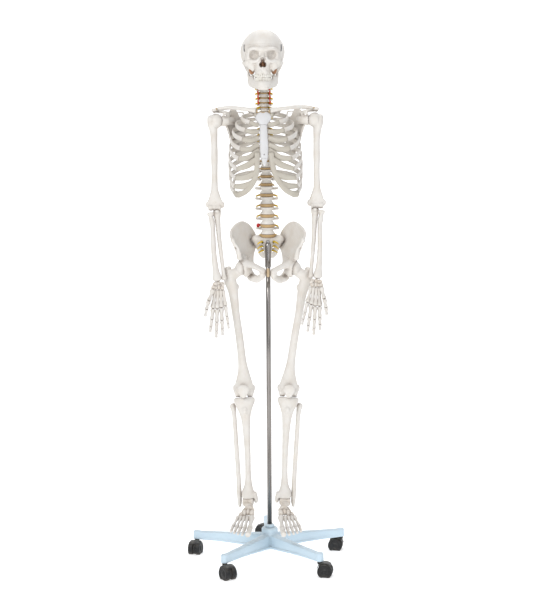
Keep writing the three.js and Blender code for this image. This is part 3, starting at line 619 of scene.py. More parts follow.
# %% Star
stems = [joint_at(f"castor_{i}_swivel") - POLE for i in CASTORS]
star = [loft([(0, 0, 50, 27, 27), (0, 0, 53, 30, 30), (0, 0, 60, 30.5, 30.5), (0, 0, 100, 28, 28),
    (0, 0, 110, 28, 28), (0, 0, HUB_TOP, 25, 25)], sides=40, steps=2)]
bores = [loft([(0, 0, 40, 8.4), (0, 0, 130, 8.4)], sides=24, steps=1)]
for stem in stems:
    x, y = stem.x, stem.y
    star += arm_shapes(stem)
    star.append(loft([(x, y, 55.4, 11, 11), (x, y, 57, 13, 13), (x, y, 70, 12.6, 12.6), (x, y, 80, 12.4, 12.4),
        (x, y, 84.6, 10.4, 10.4)], sides=28, steps=2))
    bores.append(loft([(x, y, 50, 6.3), (x, y, 74.5, 6.3)], sides=20, steps=1))
wear(clay("star_base", star, bores, TRUNK, voxel=1.85, smooth=5), PAINT, "base", "base_star", slot="base_paint")

print("star arms", len(stems), "hub top", round(HUB_TOP))

# %% [markdown]
# ## Castors
# Each castor trails behind its stem, so its wheels follow. The hood over them is one fused piece with its stem,
# and the two wheels are spun profiles that share an axle.

# %% Castors
WHEEL_FACES = (4.4, 21.2)
for i, stem in zip(CASTORS, stems):
    c = joint_at(f"castor_{i}_roll") - POLE
    axis = Vector(joints[f"castor_{i}_roll"]["axis"])
    out = Vector((c.x - stem.x, c.y - stem.y, 0)).normalized()
    x, y = stem.x, stem.y
    web = spun([(0, -3), (20.4, -3), (21, -2), (21, 2), (20.4, 3), (0, 3)], c, axis=axis, sides=40)
    hood = loft([tuple(c + out * r * math.cos(a) + Vector((0, 0, r * math.sin(a)))) + (18.6, 1.0) for r,
        a in [(27.6, math.radians(d)) for d in range(46, 168, 11)]], sides=16, hint=axis)
    neck = loft([(x, y, 53.6, 8.6, 8.6), (x, y, 51, 8.8, 8.8), (x + out.x * 3, y + out.y * 3, 46.6, 7.6, 3.5),
        (x + out.x * 9, y + out.y * 9, 38, 9, 3)], sides=20, hint=out, steps=3)
    shaft = loft([(x, y, 49, 5.4), (x, y, 71.6, 5.4)], sides=20, steps=1)
    bore = loft([tuple(c - axis * 9) + (3.7,), tuple(c + axis * 9) + (3.7,)], sides=20, hint=(0, 0, 1), steps=1)
    wear(clay(f"castor_{i}_hood", [web, hood, neck, shaft], [bore], TRUNK, voxel=0.9, smooth=2), NYLON, f"castor_{i}",
        f"castor_hood_{i}", slot="castor_plastic")
    discs = []
    for s in (-1, 1):
        near, far = WHEEL_FACES
        profile = [(0, near), (21, near), (23.6, near + 0.6), (24.7, near + 2.6), (25, (near + far) / 2),
            (24.7, far - 2.6), (23.4, far - 0.5), (20.5, far), (19.6, far - 1.6), (9, far - 2.2), (7.6, far - 0.2),
            (0, far)]
        discs.append(spun([(r, h * s) for r, h in profile], c, axis=axis, sides=48))
    wear(single(f"castor_{i}_wheels", discs, TRUNK), TREAD, f"wheels_{i}", f"castor_wheels_{i}", slot="castor_tread")
    wear(single(f"castor_{i}_axle", [spun([(0, -20.4), (2.2, -20.4), (3, -19), (3, 19), (2.2, 20.4), (0, 20.4)], c,
        axis=axis, sides=16)], TRUNK), STEEL, f"wheels_{i}", slot="castor_tread")
print("stand pieces", len(pieces))

# %% [markdown]
# ## Limb frames
# Each limb bone is drawn with its upper joint at the origin and its shaft hanging down, outward along +x, then laid
# between its two joints.

# %% Limb frames
def between(a, b):
    z = (a - b).normalized()
    x = Vector((0, 1, 0)).cross(z).normalized()
    turn = Matrix((x, z.cross(x), z)).transposed().to_4x4()
    return Matrix.Translation(a) @ turn

# %% Room for a joint pin
PIN_BALL_ROOM = 6.9
PIN_SLOT = 4.6
PIN_BORE = 8.8


def funnel(inward, swing):
    """The room round a joint pin: a hollow for its ball, and a slot that lets the bone swing outward."""
    reach = [math.radians(a) for a in range(0, swing + 5, 5)]
    return [ball((0, 0, 0), PIN_BALL_ROOM, fine=14)] + [loft([(0, 0, 0, PIN_SLOT),
        (inward * 34 * math.cos(a), 0, 34 * math.sin(a), PIN_SLOT)], hint=(0, 1, 0), steps=1) for a in reach]

# %% Small tubular bone
def bone_rows(a, b, r, belly=0.56, ends=(1.0, 0.9), flat=1.0):
    """Stations of a small tubular bone: a broad base, a narrow waist and a rounded head."""
    a, b = Vector(a), Vector(b)
    marks = [(0, 0.5 * ends[0]), (0.05, 0.92 * ends[0]), (0.14, ends[0]), (0.3, (belly + ends[0]) / 2), (0.52, belly),
        (0.74, (belly + ends[1]) / 2), (0.9, ends[1]), (0.97, 0.8 * ends[1]), (1, 0.4 * ends[1])]
    return [tuple(a.lerp(b, t)) + (r * k, r * k * flat) for t, k in marks]

# %% Limb joints
JOINTS = {s: {j: joint_at(n.format(s)) for j, n in dict(
    shoulder="shoulder_{}_forward", elbow="elbow_{}", wrist="wrist_{}", hip="hip_{}_forward", knee="knee_{}",
    ankle="ankle_{}").items()} for s in SIDES}
print("limbs", {s: [round((j["shoulder"] - j["elbow"]).length), round((j["hip"] - j["knee"]).length)] for s,
    j in JOINTS.items()})

# %% [markdown]
# ## Thigh, shin and knee
# The femur's head holds the hip pin, its neck leans out to the trochanters, and the two condyles rest on the tibia's
# plateau. The fibula keeps to the outer side, and the patella rides in front of the femur.

# %% Femur
FEMUR_HEAD = 24.6
HIP_SOCKET = 26


def femur(s, L):
    shaft = loft([(46, 2, -6, 12, 13), (46, 1, -28, 19, 18), (38, 0, -54, 20, 17), (31, -1, -84, 16.4, 15),
        (24, -5, -150, 13.2, 13.8), (13, -8, -230, 13, 13.5), (5, -8, -310, 14, 14), (1, -6, -350, 19, 15.5),
        (0, -5, -384, 28, 17), (0, -3, -L + 12, 33, 17.5), (0, -2, -L - 2, 30, 15)], sides=24)
    neck = loft([(3, 0, -3, 15, 17), (20, 0, -15, 13.4, 17.6), (40, -1, -28, 18, 20)], sides=18, hint=(0, 1, 0))
    lumps = [ball((0, 0, 0), FEMUR_HEAD, fine=36), ball((52, 5, -14), (12, 16, 18)), ball((46, 10, -3), (9, 10, 9)),
        ball((55, 1, -34), (8, 13, 14)), ball((20, 6, -64), (9, 10, 11)), ball((44, 12, -40), (7, 6, 22)),
        ball((0, -12, -L + 8), (24, 12, 17))]
    ends = [ball((k * 20.5, 0.6, -L - 0.2), (13.4, 20, 19.8)) for k in (-1, 1)]
    ends += [ball((k * 32, 2, -L + 10), (6, 11, 12)) for k in (-1, 1)]
    ends += [loft([(k * 20.5 - 9, 0, -L, 20), (k * 20.5 + 9, 0, -L, 20)], sides=24, hint=(0, 1, 0), steps=2)
        for k in (-1, 1)]
    cuts = [ball((0, 16, -L - 9), (7.6, 22, 21)), ball((0, -34, -L + 2), (9, 9.5, 34)), *funnel(-1, 15)]
    return [mirrored(s, [shaft, neck, *lumps, *ends])], [mirrored(s, cuts)]

# %% [markdown]
# ## Tibia
# The shaft is triangular, so a thin ridge is laid along its front. The plateau is broad and flat for the femur's
# two condyles, and the ankle knob hangs below it on the inner side.

# %% Tibia
def tibia(s, L):
    shaft = loft([(0, -2, -22, 32, 20), (0, -3, -27, 36, 23.5), (0, -5, -40, 34, 23), (-1, -8, -62, 24, 21),
        (-2, -9, -85, 17.4, 18), (-3, -8, -120, 13.4, 15.5), (-4, -6, -200, 10.4, 13), (-3, -3, -280, 10, 11.5),
        (-2, -1, -L + 55, 13.5, 13), (0, 0, -L + 30, 22, 16.5), (0, 0, -L + 15, 25.6, 18), (0, 0, -L + 9, 25, 17)],
        sides=24)
    lumps = [ball((k * 19, 2, -30), (17, 21, 7.6)) for k in (-1, 1)]
    lumps += [ball((-1, -28, -62), (8, 6, 13)), ball((0, 1, -22.5), (5, 8, 3.4)),
        loft([(-4, -14, -110, 3, 6), (-6, -14, -200, 3, 5), (-5, -11, -280, 3, 4)], sides=8)]
    malleolus = loft([(-19, 0, -L + 28, 10, 13), (-25, 0, -L + 10, 8, 12), (-26, -1, -L - 2, 6.4, 9.6),
        (-25.4, -1, -L - 8, 4, 6)], sides=14)
    cuts = [loft([(-18.6, 0, -L, 15.8), (60, 0, -L, 15.8)], sides=30, hint=(0, 1, 0), steps=1),
        loft([(30, 4, -L + 44, 9, 12), (29.6, 4, -L - 20, 9.6, 13)], sides=18, steps=1)]
    return [mirrored(s, [shaft, malleolus, *lumps])], [mirrored(s, cuts)]

# %% [markdown]
# ## Fibula and patella
# The fibula is one thin rod with a knob at each end. The patella is two overlapping balls, as its back is hidden.

# %% Fibula and patella
def fibula(s, L):
    return [mirrored(s, [loft([(39, 14, -42, 4, 4), (39, 14, -46, 9, 9), (40, 14, -54, 11, 10.6),
        (38, 13, -68, 8.4, 8.4), (36, 12, -100, 7.4, 7.6), (34, 12, -180, 7.8, 7.6), (31, 9, -280, 7.8, 7.6),
        (30.6, 5, -L + 35, 8.4, 8.8), (30.4, 4, -L + 10, 7.8, 11), (30, 4, -L - 6, 7, 10.5),
        (30.6, 4, -L - 18, 4.6, 6.6), (31, 4, -L - 22, 2.4, 3.4)], sides=18)])]


def patella(s, L):
    return [mirrored(s, [ball((2, -38.6, -L + 11), (20, 7.6, 17.5)), ball((2, -38, -L - 3), (13, 6.6, 14))])]

# %% Both legs
for side, s in SIDES.items():
    hip, knee, ankle = (JOINTS[side][j] for j in ("hip", "knee", "ankle"))
    thigh, shin = between(hip, knee), between(knee, ankle)
    adds, cuts = femur(s, (hip - knee).length)
    wear(clay(f"femur_bone_{side}", adds, cuts, thigh, voxel=1.7, smooth=5), BONE, f"thigh_{side}", f"femur_{side}")
    wear(clay(f"patella_bone_{side}", patella(s, (hip - knee).length), (), thigh, voxel=1.2), BONE, f"thigh_{side}",
        f"patella_{side}")
    adds, cuts = tibia(s, (knee - ankle).length)
    wear(clay(f"tibia_bone_{side}", adds, cuts, shin, voxel=1.6, smooth=5), BONE, f"shin_{side}", f"tibia_{side}")
    wear(clay(f"fibula_bone_{side}", fibula(s, (knee - ankle).length), (), shin, voxel=1.3), BONE, f"shin_{side}",
        f"fibula_{side}")
print("leg bones", len(pieces))

# %% [markdown]
# ## Feet
# Each foot is drawn from the ankle's centre: outward, forward and up. Tarsal bones are clay, and the metatarsals and
# toe bones are small waisted lofts, one piece each.

# %% Foot tables
TOE_OUT = {"right": 9, "left": 7}
FOOT_PITCH = 3
TOES = [("big", -21, -25, 126, 168, 10.6, 2), ("second", -8, -7, 128, 170, 7.4, 3), ("third", 3, 8, 124, 164, 7, 3),
    ("fourth", 13, 22, 117, 154, 6.8, 3), ("little", 23, 36, 108, 140, 7, 3)]
TARSALS = {
    "talus": ([ball((0, 1, -3), (15, 15, 12)), ball((-4, 22, -13), (12, 12, 10)), ball((4, -10, -13), (12, 12, 9)),
        loft([(-17, 0, 0, 14.4), (18.6, 0, 0, 14.4)], sides=24, hint=(0, 1, 0), steps=2),
        ball((2, 12, -8), (17, 14, 9))], 1.1),
    "calcaneus": ([loft([(4, -59, -41, 8, 11), (4, -53, -41, 12, 19), (4, -42, -42, 13.4, 21), (4, -20, -38, 13, 14),
        (5, 6, -34, 14, 13), (9, 27, -35, 12, 11.5), (10, 31, -35, 9, 9)], sides=18), ball((-6, 2, -27), (10, 8, 5))],
        1.3),
    "navicular": ([ball((-9, 37, -19), (16, 7, 12)), ball((-20, 36, -22), (7, 6.6, 8))], 1.1),
    "cuboid": ([ball((16, 43, -38), (11, 14, 10)), block((16, 44, -38), (16, 20, 14))], 1.1),
    "inner_cuneiform": ([ball((-20, 54, -28), (9, 12, 13))], 1.1),
    "middle_cuneiform": ([ball((-7.6, 53, -24), (7, 10, 11))], 1.1),
    "outer_cuneiform": ([ball((3.6, 54, -27), (7.4, 12, 11))], 1.1),
}

print("tarsals", len(TARSALS), "toes", len(TOES))

# %% Toe bones
def forward(parts):
    """Parts drawn outward, forward and up, turned so that forward is -y."""
    return moved(Matrix.Diagonal((1, -1, 1, 1)), parts)


def toe_bones(x0, x1, ball_y, tip, r, count):
    """The (start, end, radius) of a ray's metatarsal and toe bones."""
    def at(y):
        t = min(1, (y - 56) / (ball_y - 64))
        height = spline([[-36], [-45], [-59]], 8)[min(16, round(t * 16))][0] if y < ball_y - 8 else \
            -59 - 6 * (y - ball_y + 8) / (tip - ball_y + 8)
        return (x0 + (x1 - x0) * t, y, height)
    bones = [(at(60), at(ball_y - 3), r)]
    marks = [(0, 0.62), (0.64, 1)] if count == 2 else [(0, 0.5), (0.53, 0.76), (0.79, 1)]
    for k, (a, b) in enumerate(marks):
        start, end = (ball_y + (tip - ball_y) * m for m in (a, b))
        bones.append((at(start), at(end), r * (0.92 if count == 2 else 0.8 - 0.08 * k)))
    return bones

# %% Both feet
for side, s in SIDES.items():
    place = Matrix.Translation(JOINTS[side]["ankle"]) @ Matrix.Rotation(math.radians(s * TOE_OUT[side]), 4, "Z") \
        @ Matrix.Rotation(math.radians(FOOT_PITCH), 4, "X")
    body = f"foot_{side}"
    for name, (shapes, voxel) in TARSALS.items():
        wear(clay(f"{name}_{side}", [mirrored(s, [forward(shapes)])], (), place, voxel=voxel, smooth=3), BONE_END,
            body, f"foot_{side}")
    for name, x0, x1, ball_y, tip, r, count in TOES:
        for k, (a, b, radius) in enumerate(toe_bones(x0, x1, ball_y, tip, r, count)):
            label = ["metatarsal", "near_bone", "middle_bone" if count == 3 else "end_bone", "end_bone"][k]
            rows = bone_rows(a, b, radius, belly=0.6 if k else 0.55)
            wear(single(f"{name}_toe_{label}_{side}", [mirrored(s, [forward([loft(rows, sides=14)])])], place), BONE,
                body)
print("pieces", len(pieces))

# %% [markdown]
# ## Arms
# The humerus carries its head on the shoulder pin and a spool at the elbow. The ulna hooks behind that spool on the
# inner side, and the radius turns on the outer side and broadens to the wrist, because the palms face forward.

# %% Humerus
HUMERUS_HEAD = 24.4
SHOULDER_SOCKET = 25.8


def humerus(s, L):
    shaft = loft([(12, 0, 12, 11, 13), (13, -1, 2, 16.5, 18), (11, -1, -14, 16.5, 17), (7, 0, -38, 13.3, 13),
        (4, 0, -80, 11, 11.5), (2.6, -1, -120, 11.6, 11.6), (1, 0, -170, 10.2, 10.4), (0, -1, -220, 11.4, 9.5),
        (-1, -1, -L + 50, 15, 8.6), (-2, -1, -L + 28, 22.5, 7.4), (-3, 0, -L + 12, 27, 7), (-3, 0, -L + 2, 23, 6.6)],
        sides=20)
    spool = loft([(-23, 0, -L, 8.6), (-20, 0, -L, 11.6), (-12, 0, -L, 8.6), (-3, 0, -L, 10.4), (1.6, 0, -L, 8.4),
        (8, 0, -L, 10.6), (15.6, 0, -L, 10.4), (20, 0, -L, 7)], sides=26, hint=(0, 1, 0), steps=4)
    lumps = [ball((0, 0, 0), HUMERUS_HEAD, fine=34), ball((19, -2, 4), (11, 16, 15)), ball((8, -17, 0), (8, 6.6, 11)),
        ball((-28, 2, -L + 10), (7, 6.4, 11)), ball((23, 1, -L + 10), (6, 5.6, 10)), ball((9, -3, -112), (5, 7, 26))]
    cuts = [ball((-6, 11, -L + 20), (9.6, 6.6, 9)), ball((-7, -10, -L + 18), (7, 4, 7)),
        loft([(14, -21, 14, 2.4), (13, -20, -6, 2.4), (9, -16, -34, 2)], sides=8), *funnel(-1, 30)]
    return [mirrored(s, [shaft, spool, *lumps])], [mirrored(s, cuts)]

# %% [markdown]
# ## Ulna and radius
# The ulna's hook is drawn as the upper end of its shaft and bored to the spool's radius, so the elbow turns without
# rubbing. The radius has a flat round head above and a broad end below, both hollowed where the wrist sits.

# %% Ulna
ELBOW_HOLLOW = 12.4
WRIST_HOLLOW = 7.8


def ulna(s, L):
    shaft = loft([(-10, 19, 17, 5, 4), (-10, 19, 13, 9, 7.4), (-10, 17.4, 2, 10.6, 8.4), (-8.4, 12, -9, 13, 10.6),
        (-8.4, 5, -20, 13.4, 12), (-8.4, 4, -34, 10.8, 9.8), (-9, 5, -60, 8.6, 8.4), (-10, 4, -110, 7.6, 7.6),
        (-12.6, 3, -160, 6.8, 6.8), (-16, 2, -L + 40, 6.2, 6.2), (-16.6, 1.5, -L + 20, 7.4, 7.2),
        (-17, 1, -L + 12, 8.8, 8.4), (-17, 1, -L + 5, 7.4, 7)], sides=18)
    lumps = [ball((-9, -9, -17), (8, 7, 6)), ball((-21, 5, -L + 8), (2.6, 3, 6))]
    return [mirrored(s, [shaft, *lumps])], [loft([(-60, 0, z, r), (60, 0, z, r)], sides=32, hint=(0, 1, 0), steps=1)
        for z, r in ((0, ELBOW_HOLLOW), (-L, WRIST_HOLLOW))]

# %% Radius
def radius_bone(s, L):
    shaft = loft([(13, -1, -17.6, 10), (13, -1, -19, 12.2), (13, -1, -25, 12.2), (13, -1, -29, 8.4), (12, -1, -38, 8),
        (10.4, 1, -50, 9.8), (9.4, 1, -64, 8.2, 8.2), (10, 0, -100, 8.2, 8), (11, 0, -150, 8.6, 8),
        (10, 0, -190, 9.4, 7.6), (8, -1, -L + 36, 11, 8), (6.4, -1, -L + 18, 15, 10.4), (6, -1, -L + 8, 15, 10.4),
        (6, -1, -L + 2, 14, 9.4)], sides=18)
    return [mirrored(s, [shaft, ball((18, -1, -L + 6), (4, 5, 8))])]

# %% Both arms
for side, s in SIDES.items():
    shoulder, elbow, wrist = (JOINTS[side][j] for j in ("shoulder", "elbow", "wrist"))
    upper, fore = between(shoulder, elbow), between(elbow, wrist)
    adds, cuts = humerus(s, (shoulder - elbow).length)
    wear(clay(f"humerus_bone_{side}", adds, cuts, upper, voxel=1.5, smooth=4), BONE, f"upper_arm_{side}",
        f"humerus_{side}")
    adds, cuts = ulna(s, (elbow - wrist).length)
    wear(clay(f"ulna_bone_{side}", adds, cuts, fore, voxel=1.2, smooth=4), BONE, f"forearm_{side}", f"ulna_{side}")
    hollow = [loft([(k, 0, -(elbow - wrist).length, WRIST_HOLLOW) for k in (-60, 60)], hint=(0, 1, 0), steps=1)]
    wear(clay(f"radius_bone_{side}", radius_bone(s, (elbow - wrist).length), hollow, fore, voxel=1.2, smooth=4), BONE,
        f"forearm_{side}", f"radius_{side}")
print("pieces", len(pieces))

# %% [markdown]
# ## Hands
# Eight carpal bones fill the palm's root, with five metacarpals and fourteen finger bones fanned out from them.

# %% Hand tables
FINGERTIP_X = {"right": -165, "left": 141}
MIDDLE_TIP = 188
CARPALS = [("scaphoid", 12, 7.6, -1, 9.4, 6, 7.4), ("lunate", 1, 5, 0, 7, 6, 7), ("triquetrum", -11, 7.6, 0, 7.6, 6,
    7.4), ("pisiform", -14, 13, -8, 5, 4.6, 5.4), ("trapezium", 19, 20, -3, 7.4, 7, 8),
    ("trapezoid", 10, 20.6, 0, 6, 6.8, 7.4), ("capitate", 0.4, 18.6, 0, 6.4, 7.4, 10),
    ("hamate", -11, 20.4, -1, 7.4, 7.4, 8.6)]
FINGERS = [("index", 14, 27, 92, 170), ("middle", 4, 7, 93, MIDDLE_TIP), ("ring", -6, -14, 89, 180),
    ("little", -15.4, -34, 83, 158)]

print("carpals", len(CARPALS), "fingers", len(FINGERS) + 1)

# %% Both hands
for side, s in SIDES.items():
    wrist, body = JOINTS[side]["wrist"], f"hand_{side}"
    low = node_box(body)[0]
    tip = Vector((POLE.x + FINGERTIP_X[side], low.y + 3, low.z + 0.6))
    place = between(wrist, tip)
    L = (wrist - tip).length
    for name, x, down, y, w, d, h in CARPALS:
        wear(clay(f"{name}_{side}",
            [mirrored(s, [ball((x, y, -down), (w, d, h)), block((x, y, -down), (w * 1.3, d * 1.2, h * 1.3))])], (),
            place, voxel=0.9, smooth=3), BONE_END, body, body)
    for name, x0, x1, knuckle, end in FINGERS:
        tip_z = L * end / MIDDLE_TIP
        def at(z, bend):
            t = (z - 36) / (tip_z - 36)
            return (x0 + (x1 - x0) * t, bend, -z)
        rest = tip_z - knuckle
        spans = [(at(28, 0), at(knuckle - 0.6, 0), 9), (at(knuckle + 0.6, 0), at(knuckle + rest * 0.47, -1.6), 7.8),
            (at(knuckle + rest * 0.482, -1.7), at(knuckle + rest * 0.775, -3.6), 6.8),
            (at(knuckle + rest * 0.787, -3.8), at(tip_z, -6), 5.8)]
        small = 0.86 if name == "little" else 1
        for (a, b, r), label in zip(spans, ("metacarpal", "near_bone", "middle_bone", "end_bone")):
            rows = bone_rows(a, b, r * small, belly=0.58 if label == "metacarpal" else 0.68,
                ends=(0.76, 1) if label == "metacarpal" else (1, 0.86), flat=0.86)
            wear(single(f"{name}_{label}_{side}", [mirrored(s, [loft(rows, sides=14)])], place), BONE, body)
    thumb = [((20, -5, -28), (33, -11, -68), 8.8), ((33.5, -11.4, -69.6), (40, -16, -98), 7.8),
        ((40.3, -16.4, -99.6), (44, -19, -122), 6.6)]
    for (a, b, r), label in zip(thumb, ("metacarpal", "near_bone", "end_bone")):
        wear(single(f"thumb_{label}_{side}", [mirrored(s, [loft(bone_rows(a, b, r), sides=14)])], place), BONE, body)
print("pieces", len(pieces))

# %% [markdown]
# ## Spine
# The column's levels divide the height between the sacrum and the turning joint of the head. Each vertebra is a
# waisted body with its arch and processes, set on the curve of the back, with a disc under it and a pair of nerves.

# %% Spine levels
AXIS_TOP = joint_at("head_turn").z
COLUMN = AXIS_TOP - SACRUM_TOP
LUMBAR_TOP = SACRUM_TOP + 0.324 * COLUMN
THORACIC_TOP = SACRUM_TOP + 0.8155 * COLUMN
BACK_CURVE = [(1112, 30), (1196, 16), (1267, 24), (1345, 44), (1420, 57), (1480, 54), (1545, 37), (1595, 23),
    (1643, 20), (1670, 20)]

print("column from", round(SACRUM_TOP), "to", round(AXIS_TOP))

# %% Mixing values
def mix(a, b, t):
    return a + (b - a) * t


def share(z, low, high):
    return (z - low) / (high - low)

# %% Curve of the back
def back_y(z):
    """How far behind the pole the column's bodies are centred at a height."""
    for (z0, y0), (z1, y1) in zip(BACK_CURVE, BACK_CURVE[1:]):
        if z <= z1:
            return mix(y0, y1, share(z, z0, z1))
    return BACK_CURVE[-1][1]


def levels(bottom, top, count, taper):
    """Heights of a region's discs, its vertebrae changing evenly in height."""
    parts = [mix(1, taper, i / (count - 1)) for i in range(count)]
    out = [bottom]
    for part in parts:
        out.append(out[-1] + part * (top - bottom) / sum(parts))
    return out


LUMBAR = levels(SACRUM_TOP, LUMBAR_TOP, 5, 1.04)
THORACIC = levels(LUMBAR_TOP, THORACIC_TOP, 12, 0.56)
CERVICAL = levels(THORACIC_TOP, AXIS_TOP, 6, 1.1)
REGIONS = {"lumbar": ("L", 5, LUMBAR), "thoracic": ("T", 12, THORACIC), "cervical": ("C", 7, CERVICAL)}

print("vertebrae", sum(len(heights) - 1 for _, _, heights in REGIONS.values()))

# %% Sizes along the column
def body_size(region, z):
    """Half width and half depth of a vertebra's body."""
    if region == "lumbar":
        return mix(24.5, 21.5, share(z, SACRUM_TOP, LUMBAR_TOP)), 17
    if region == "thoracic":
        t = share(z, LUMBAR_TOP, THORACIC_TOP)
        return mix(20.5, 13, t), mix(16, 9.5, t)
    return 12.5, 9


def disc_gap(z):
    """A disc's height: thick in the loins, thin between the shoulders."""
    if z > THORACIC_TOP - 1:
        return 4.6
    return mix(10.5, 4.4, min(1, max(0, share(z, LUMBAR_TOP - 10, LUMBAR_TOP + 120))))


def wing(z):
    return mix(20, 25, share(z, LUMBAR_TOP, THORACIC_TOP))

# %% Leaning and pairing
def tilt(z, shapes):
    """Leans a vertebra or disc forward, as its place in the column's curve asks."""
    marks = [(1100, 12), (1150, 10), (1230, 7), (1345, 4), (1480, 3), (1560, 8), (1600, 11), (1650, 9)]
    near = [(a, b) for a, b in zip(marks, marks[1:]) if a[0] <= z <= b[0]] or [(marks[-2], marks[-1])]
    (z0, t0), (z1, t1) = near[0]
    turn = Matrix.Rotation(math.radians(mix(t0, t1, share(z, z0, z1))), 4, "X")
    place = Matrix.Translation((0, back_y(z), z))
    return moved(place @ turn @ place.inverted(), shapes)


def pair(make):
    return [part for s in (-1, 1) for part in make(s)]

# %% [markdown]
# ## Vertebra
# One function draws all three kinds. The body is a waisted loft with a rim at each end, the arch is a hoop behind it,
# and the processes differ: blades in the loins, long spines between the shoulders, forked ends in the neck.

# %% Vertebra
def vertebra(region, low, high):
    low, high = low + disc_gap(low) / 2, high - (disc_gap(high) / 2 if high < AXIS_TOP else 1)
    z, (w, d) = (low + high) / 2, body_size(region, (low + high) / 2)
    x, y = mid(z), back_y(z)
    half = (high - low) / 2
    back = y + d
    column = loft([(x, y, z - half, w * 0.94, d * 0.92), (x, y, z - half + 0.7, w * 1.04, d * 1.02),
        (x, y, z - half + 2.2, w * 1.04, d * 1.02), (x, y, z, w * 0.74, d * 0.82),
        (x, y, z + half - 2.2, w * 1.04, d * 1.02), (x, y, z + half - 0.7, w * 1.04, d * 1.02),
        (x, y, z + half, w * 0.94, d * 0.92)], sides=26)
    tall = {"lumbar": 6.4, "thoracic": 5, "cervical": 3.8}[region]
    hole = {"lumbar": 11.5, "thoracic": 8.6, "cervical": 11}[region]
    arch = loft([(x + s * a, back + b, z + c, tall, 3.2) for s, a, b, c in [(-1, w * 0.62, -5, 3), (-1, hole, 3, 3),
        (-1, hole * 0.8, 10, 1), (1, 0, 14, -1), (1, hole * 0.8, 10, 1), (1, hole, 3, 3), (1, w * 0.62, -5, 3)]],
        sides=10, hint=(0, 0, 1))
    parts = [column, arch]
    if region == "lumbar":
        parts.append(loft([(x, back + 12, z - 1, 3, 8), (x, back + 22, z - 3, 2.6, 9), (x, back + 31, z - 5, 3.6, 10),
            (x, back + 34, z - 6, 2, 7)], sides=12))
        parts += pair(lambda s: [loft([(x + s * 10, back + 1, z + 3, 5, 4), (x + s * 24, back + 3, z + 2, 4.4, 2.8),
            (x + s * 36, back + 4, z + 3, 5, 2.4), (x + s * 40, back + 4, z + 3.4, 2.6, 1.8)], sides=10,
            hint=(0, 0, 1)), ball((x + s * 14, back + 9, z + half + 1), (4, 5, 9)),
            ball((x + s * 11, back + 11, z - half - 1), (4, 4, 8))])
    elif region == "thoracic":
        out, drop = wing(z), mix(12, 20, min(1, share(z, LUMBAR_TOP, THORACIC_TOP) * 2.4))
        parts.append(loft([(x, back + 12, z - 1, 2.8, 5), (x, back + 19, z - drop * 0.5, 2.4, 4.6),
            (x, back + 26, z - drop, 2.6, 4), (x, back + 28, z - drop - 2, 1.6, 2.4)], sides=10))
        parts += pair(lambda s: [loft([(x + s * 8, back + 3, z + 2, 4.6, 4), (x + s * out * 0.7, back + 7, z + 3, 3.6,
            3.6), (x + s * (out - 1), back + 9, z + 3, 4.6, 4.4)], sides=10, hint=(0, 0, 1)),
            ball((x + s * 9, back + 8, z + half + 1), (3.4, 3, 5))])
    else:
        reach = mix(32, 18, share(z, THORACIC_TOP, AXIS_TOP))
        parts.append(loft([(x, back + 11, z - 1, 3, 4.4), (x, back + reach * 0.7, z - 3, 2.6, 3.6),
            (x, back + reach, z - 5, 3.8, 2.8)], sides=10))
        parts += pair(lambda s: [loft([(x + s * 9, back - 5, z + 1, 3.6, 3.4), (x + s * 17, back - 5, z, 3, 5.4),
            (x + s * 25, back - 4, z - 2, 3.2, 4.4)], sides=10, hint=(0, 0, 1)),
            ball((x + s * 15, back + 3, z + half - (7 if high > AXIS_TOP - 3 else 0)), (5, 5, 5)),
            ball((x + s * 3.6, back + reach, z - 6), (2.4, 3, 2.2))])
    return parts

# %% [markdown]
# ## Disc and nerve
# A disc bulges a little beyond the bodies, so it shows as a tan band. A nerve thickens into its root and then thins
# out as it leaves sideways.

# %% Disc and nerve
def arc_disc(z, gap, size):
    x, y = mid(z), back_y(z)
    w, d = size[0], size[1] * 0.98
    return loft([(x, y, z - gap / 2, w * 0.9, d * 0.9), (x, y, z - gap / 2 + 0.4, w, d),
        (x, y, z, w * 1.06, d * 1.06), (x, y, z + gap / 2 - 0.4, w, d), (x, y, z + gap / 2, w * 0.9, d * 0.9)],
        sides=28, steps=2)


def nerve(region, z, size, s):
    x, y = mid(z), back_y(z)
    out = {"lumbar": 36, "thoracic": 26, "cervical": 29}[region]
    drop = {"lumbar": 5, "thoracic": 4, "cervical": 5}[region]
    thick = {"lumbar": 2.5, "thoracic": 2.2, "cervical": 3}[region]
    back = y + size[1]
    return loft([(x + s * 6, back + 5, z + 3, thick), (x + s * (size[0] * 0.7), back + 3, z + 2, thick * 1.5),
        (x + s * mix(size[0], out, 0.45), back - 2, z - 1, thick * 1.2), (x + s * mix(size[0], out, 0.85), back - 7,
        z - drop * 0.6, thick), (x + s * out, back - 9, z - drop, thick * 0.7)], sides=10, hint=(0, 0.3, 1))

# %% Whole column
for region, (letter, lowest, heights) in REGIONS.items():
    for k, (low, high) in enumerate(zip(heights, heights[1:])):
        label = f"{letter}{lowest - k}"
        shapes = vertebra(region, low, high)
        if label == "C2":
            x = mid(high)
            shapes.append(loft([(x, 15, high - 6, 5), (x, 15, high + 6, 4.2), (x, 15, high + 11, 2.6)], sides=12))
        wear(clay(f"vertebra_{label}", [tilt((low + high) / 2, shapes)], (), TRUNK, voxel=1.4, smooth=2), BONE,
            "trunk", f"{region}_spine")
        size = body_size(region, low)
        wear(single(f"disc_under_{label}", [tilt(low, [arc_disc(low, disc_gap(low) - 0.4, size)])], TRUNK), DISC,
            "trunk", slot="cartilage")
        wear(single(f"nerves_under_{label}", pair(lambda s: [nerve(region, low, size, s)]), TRUNK), NERVE, "trunk",
            slot="cartilage")

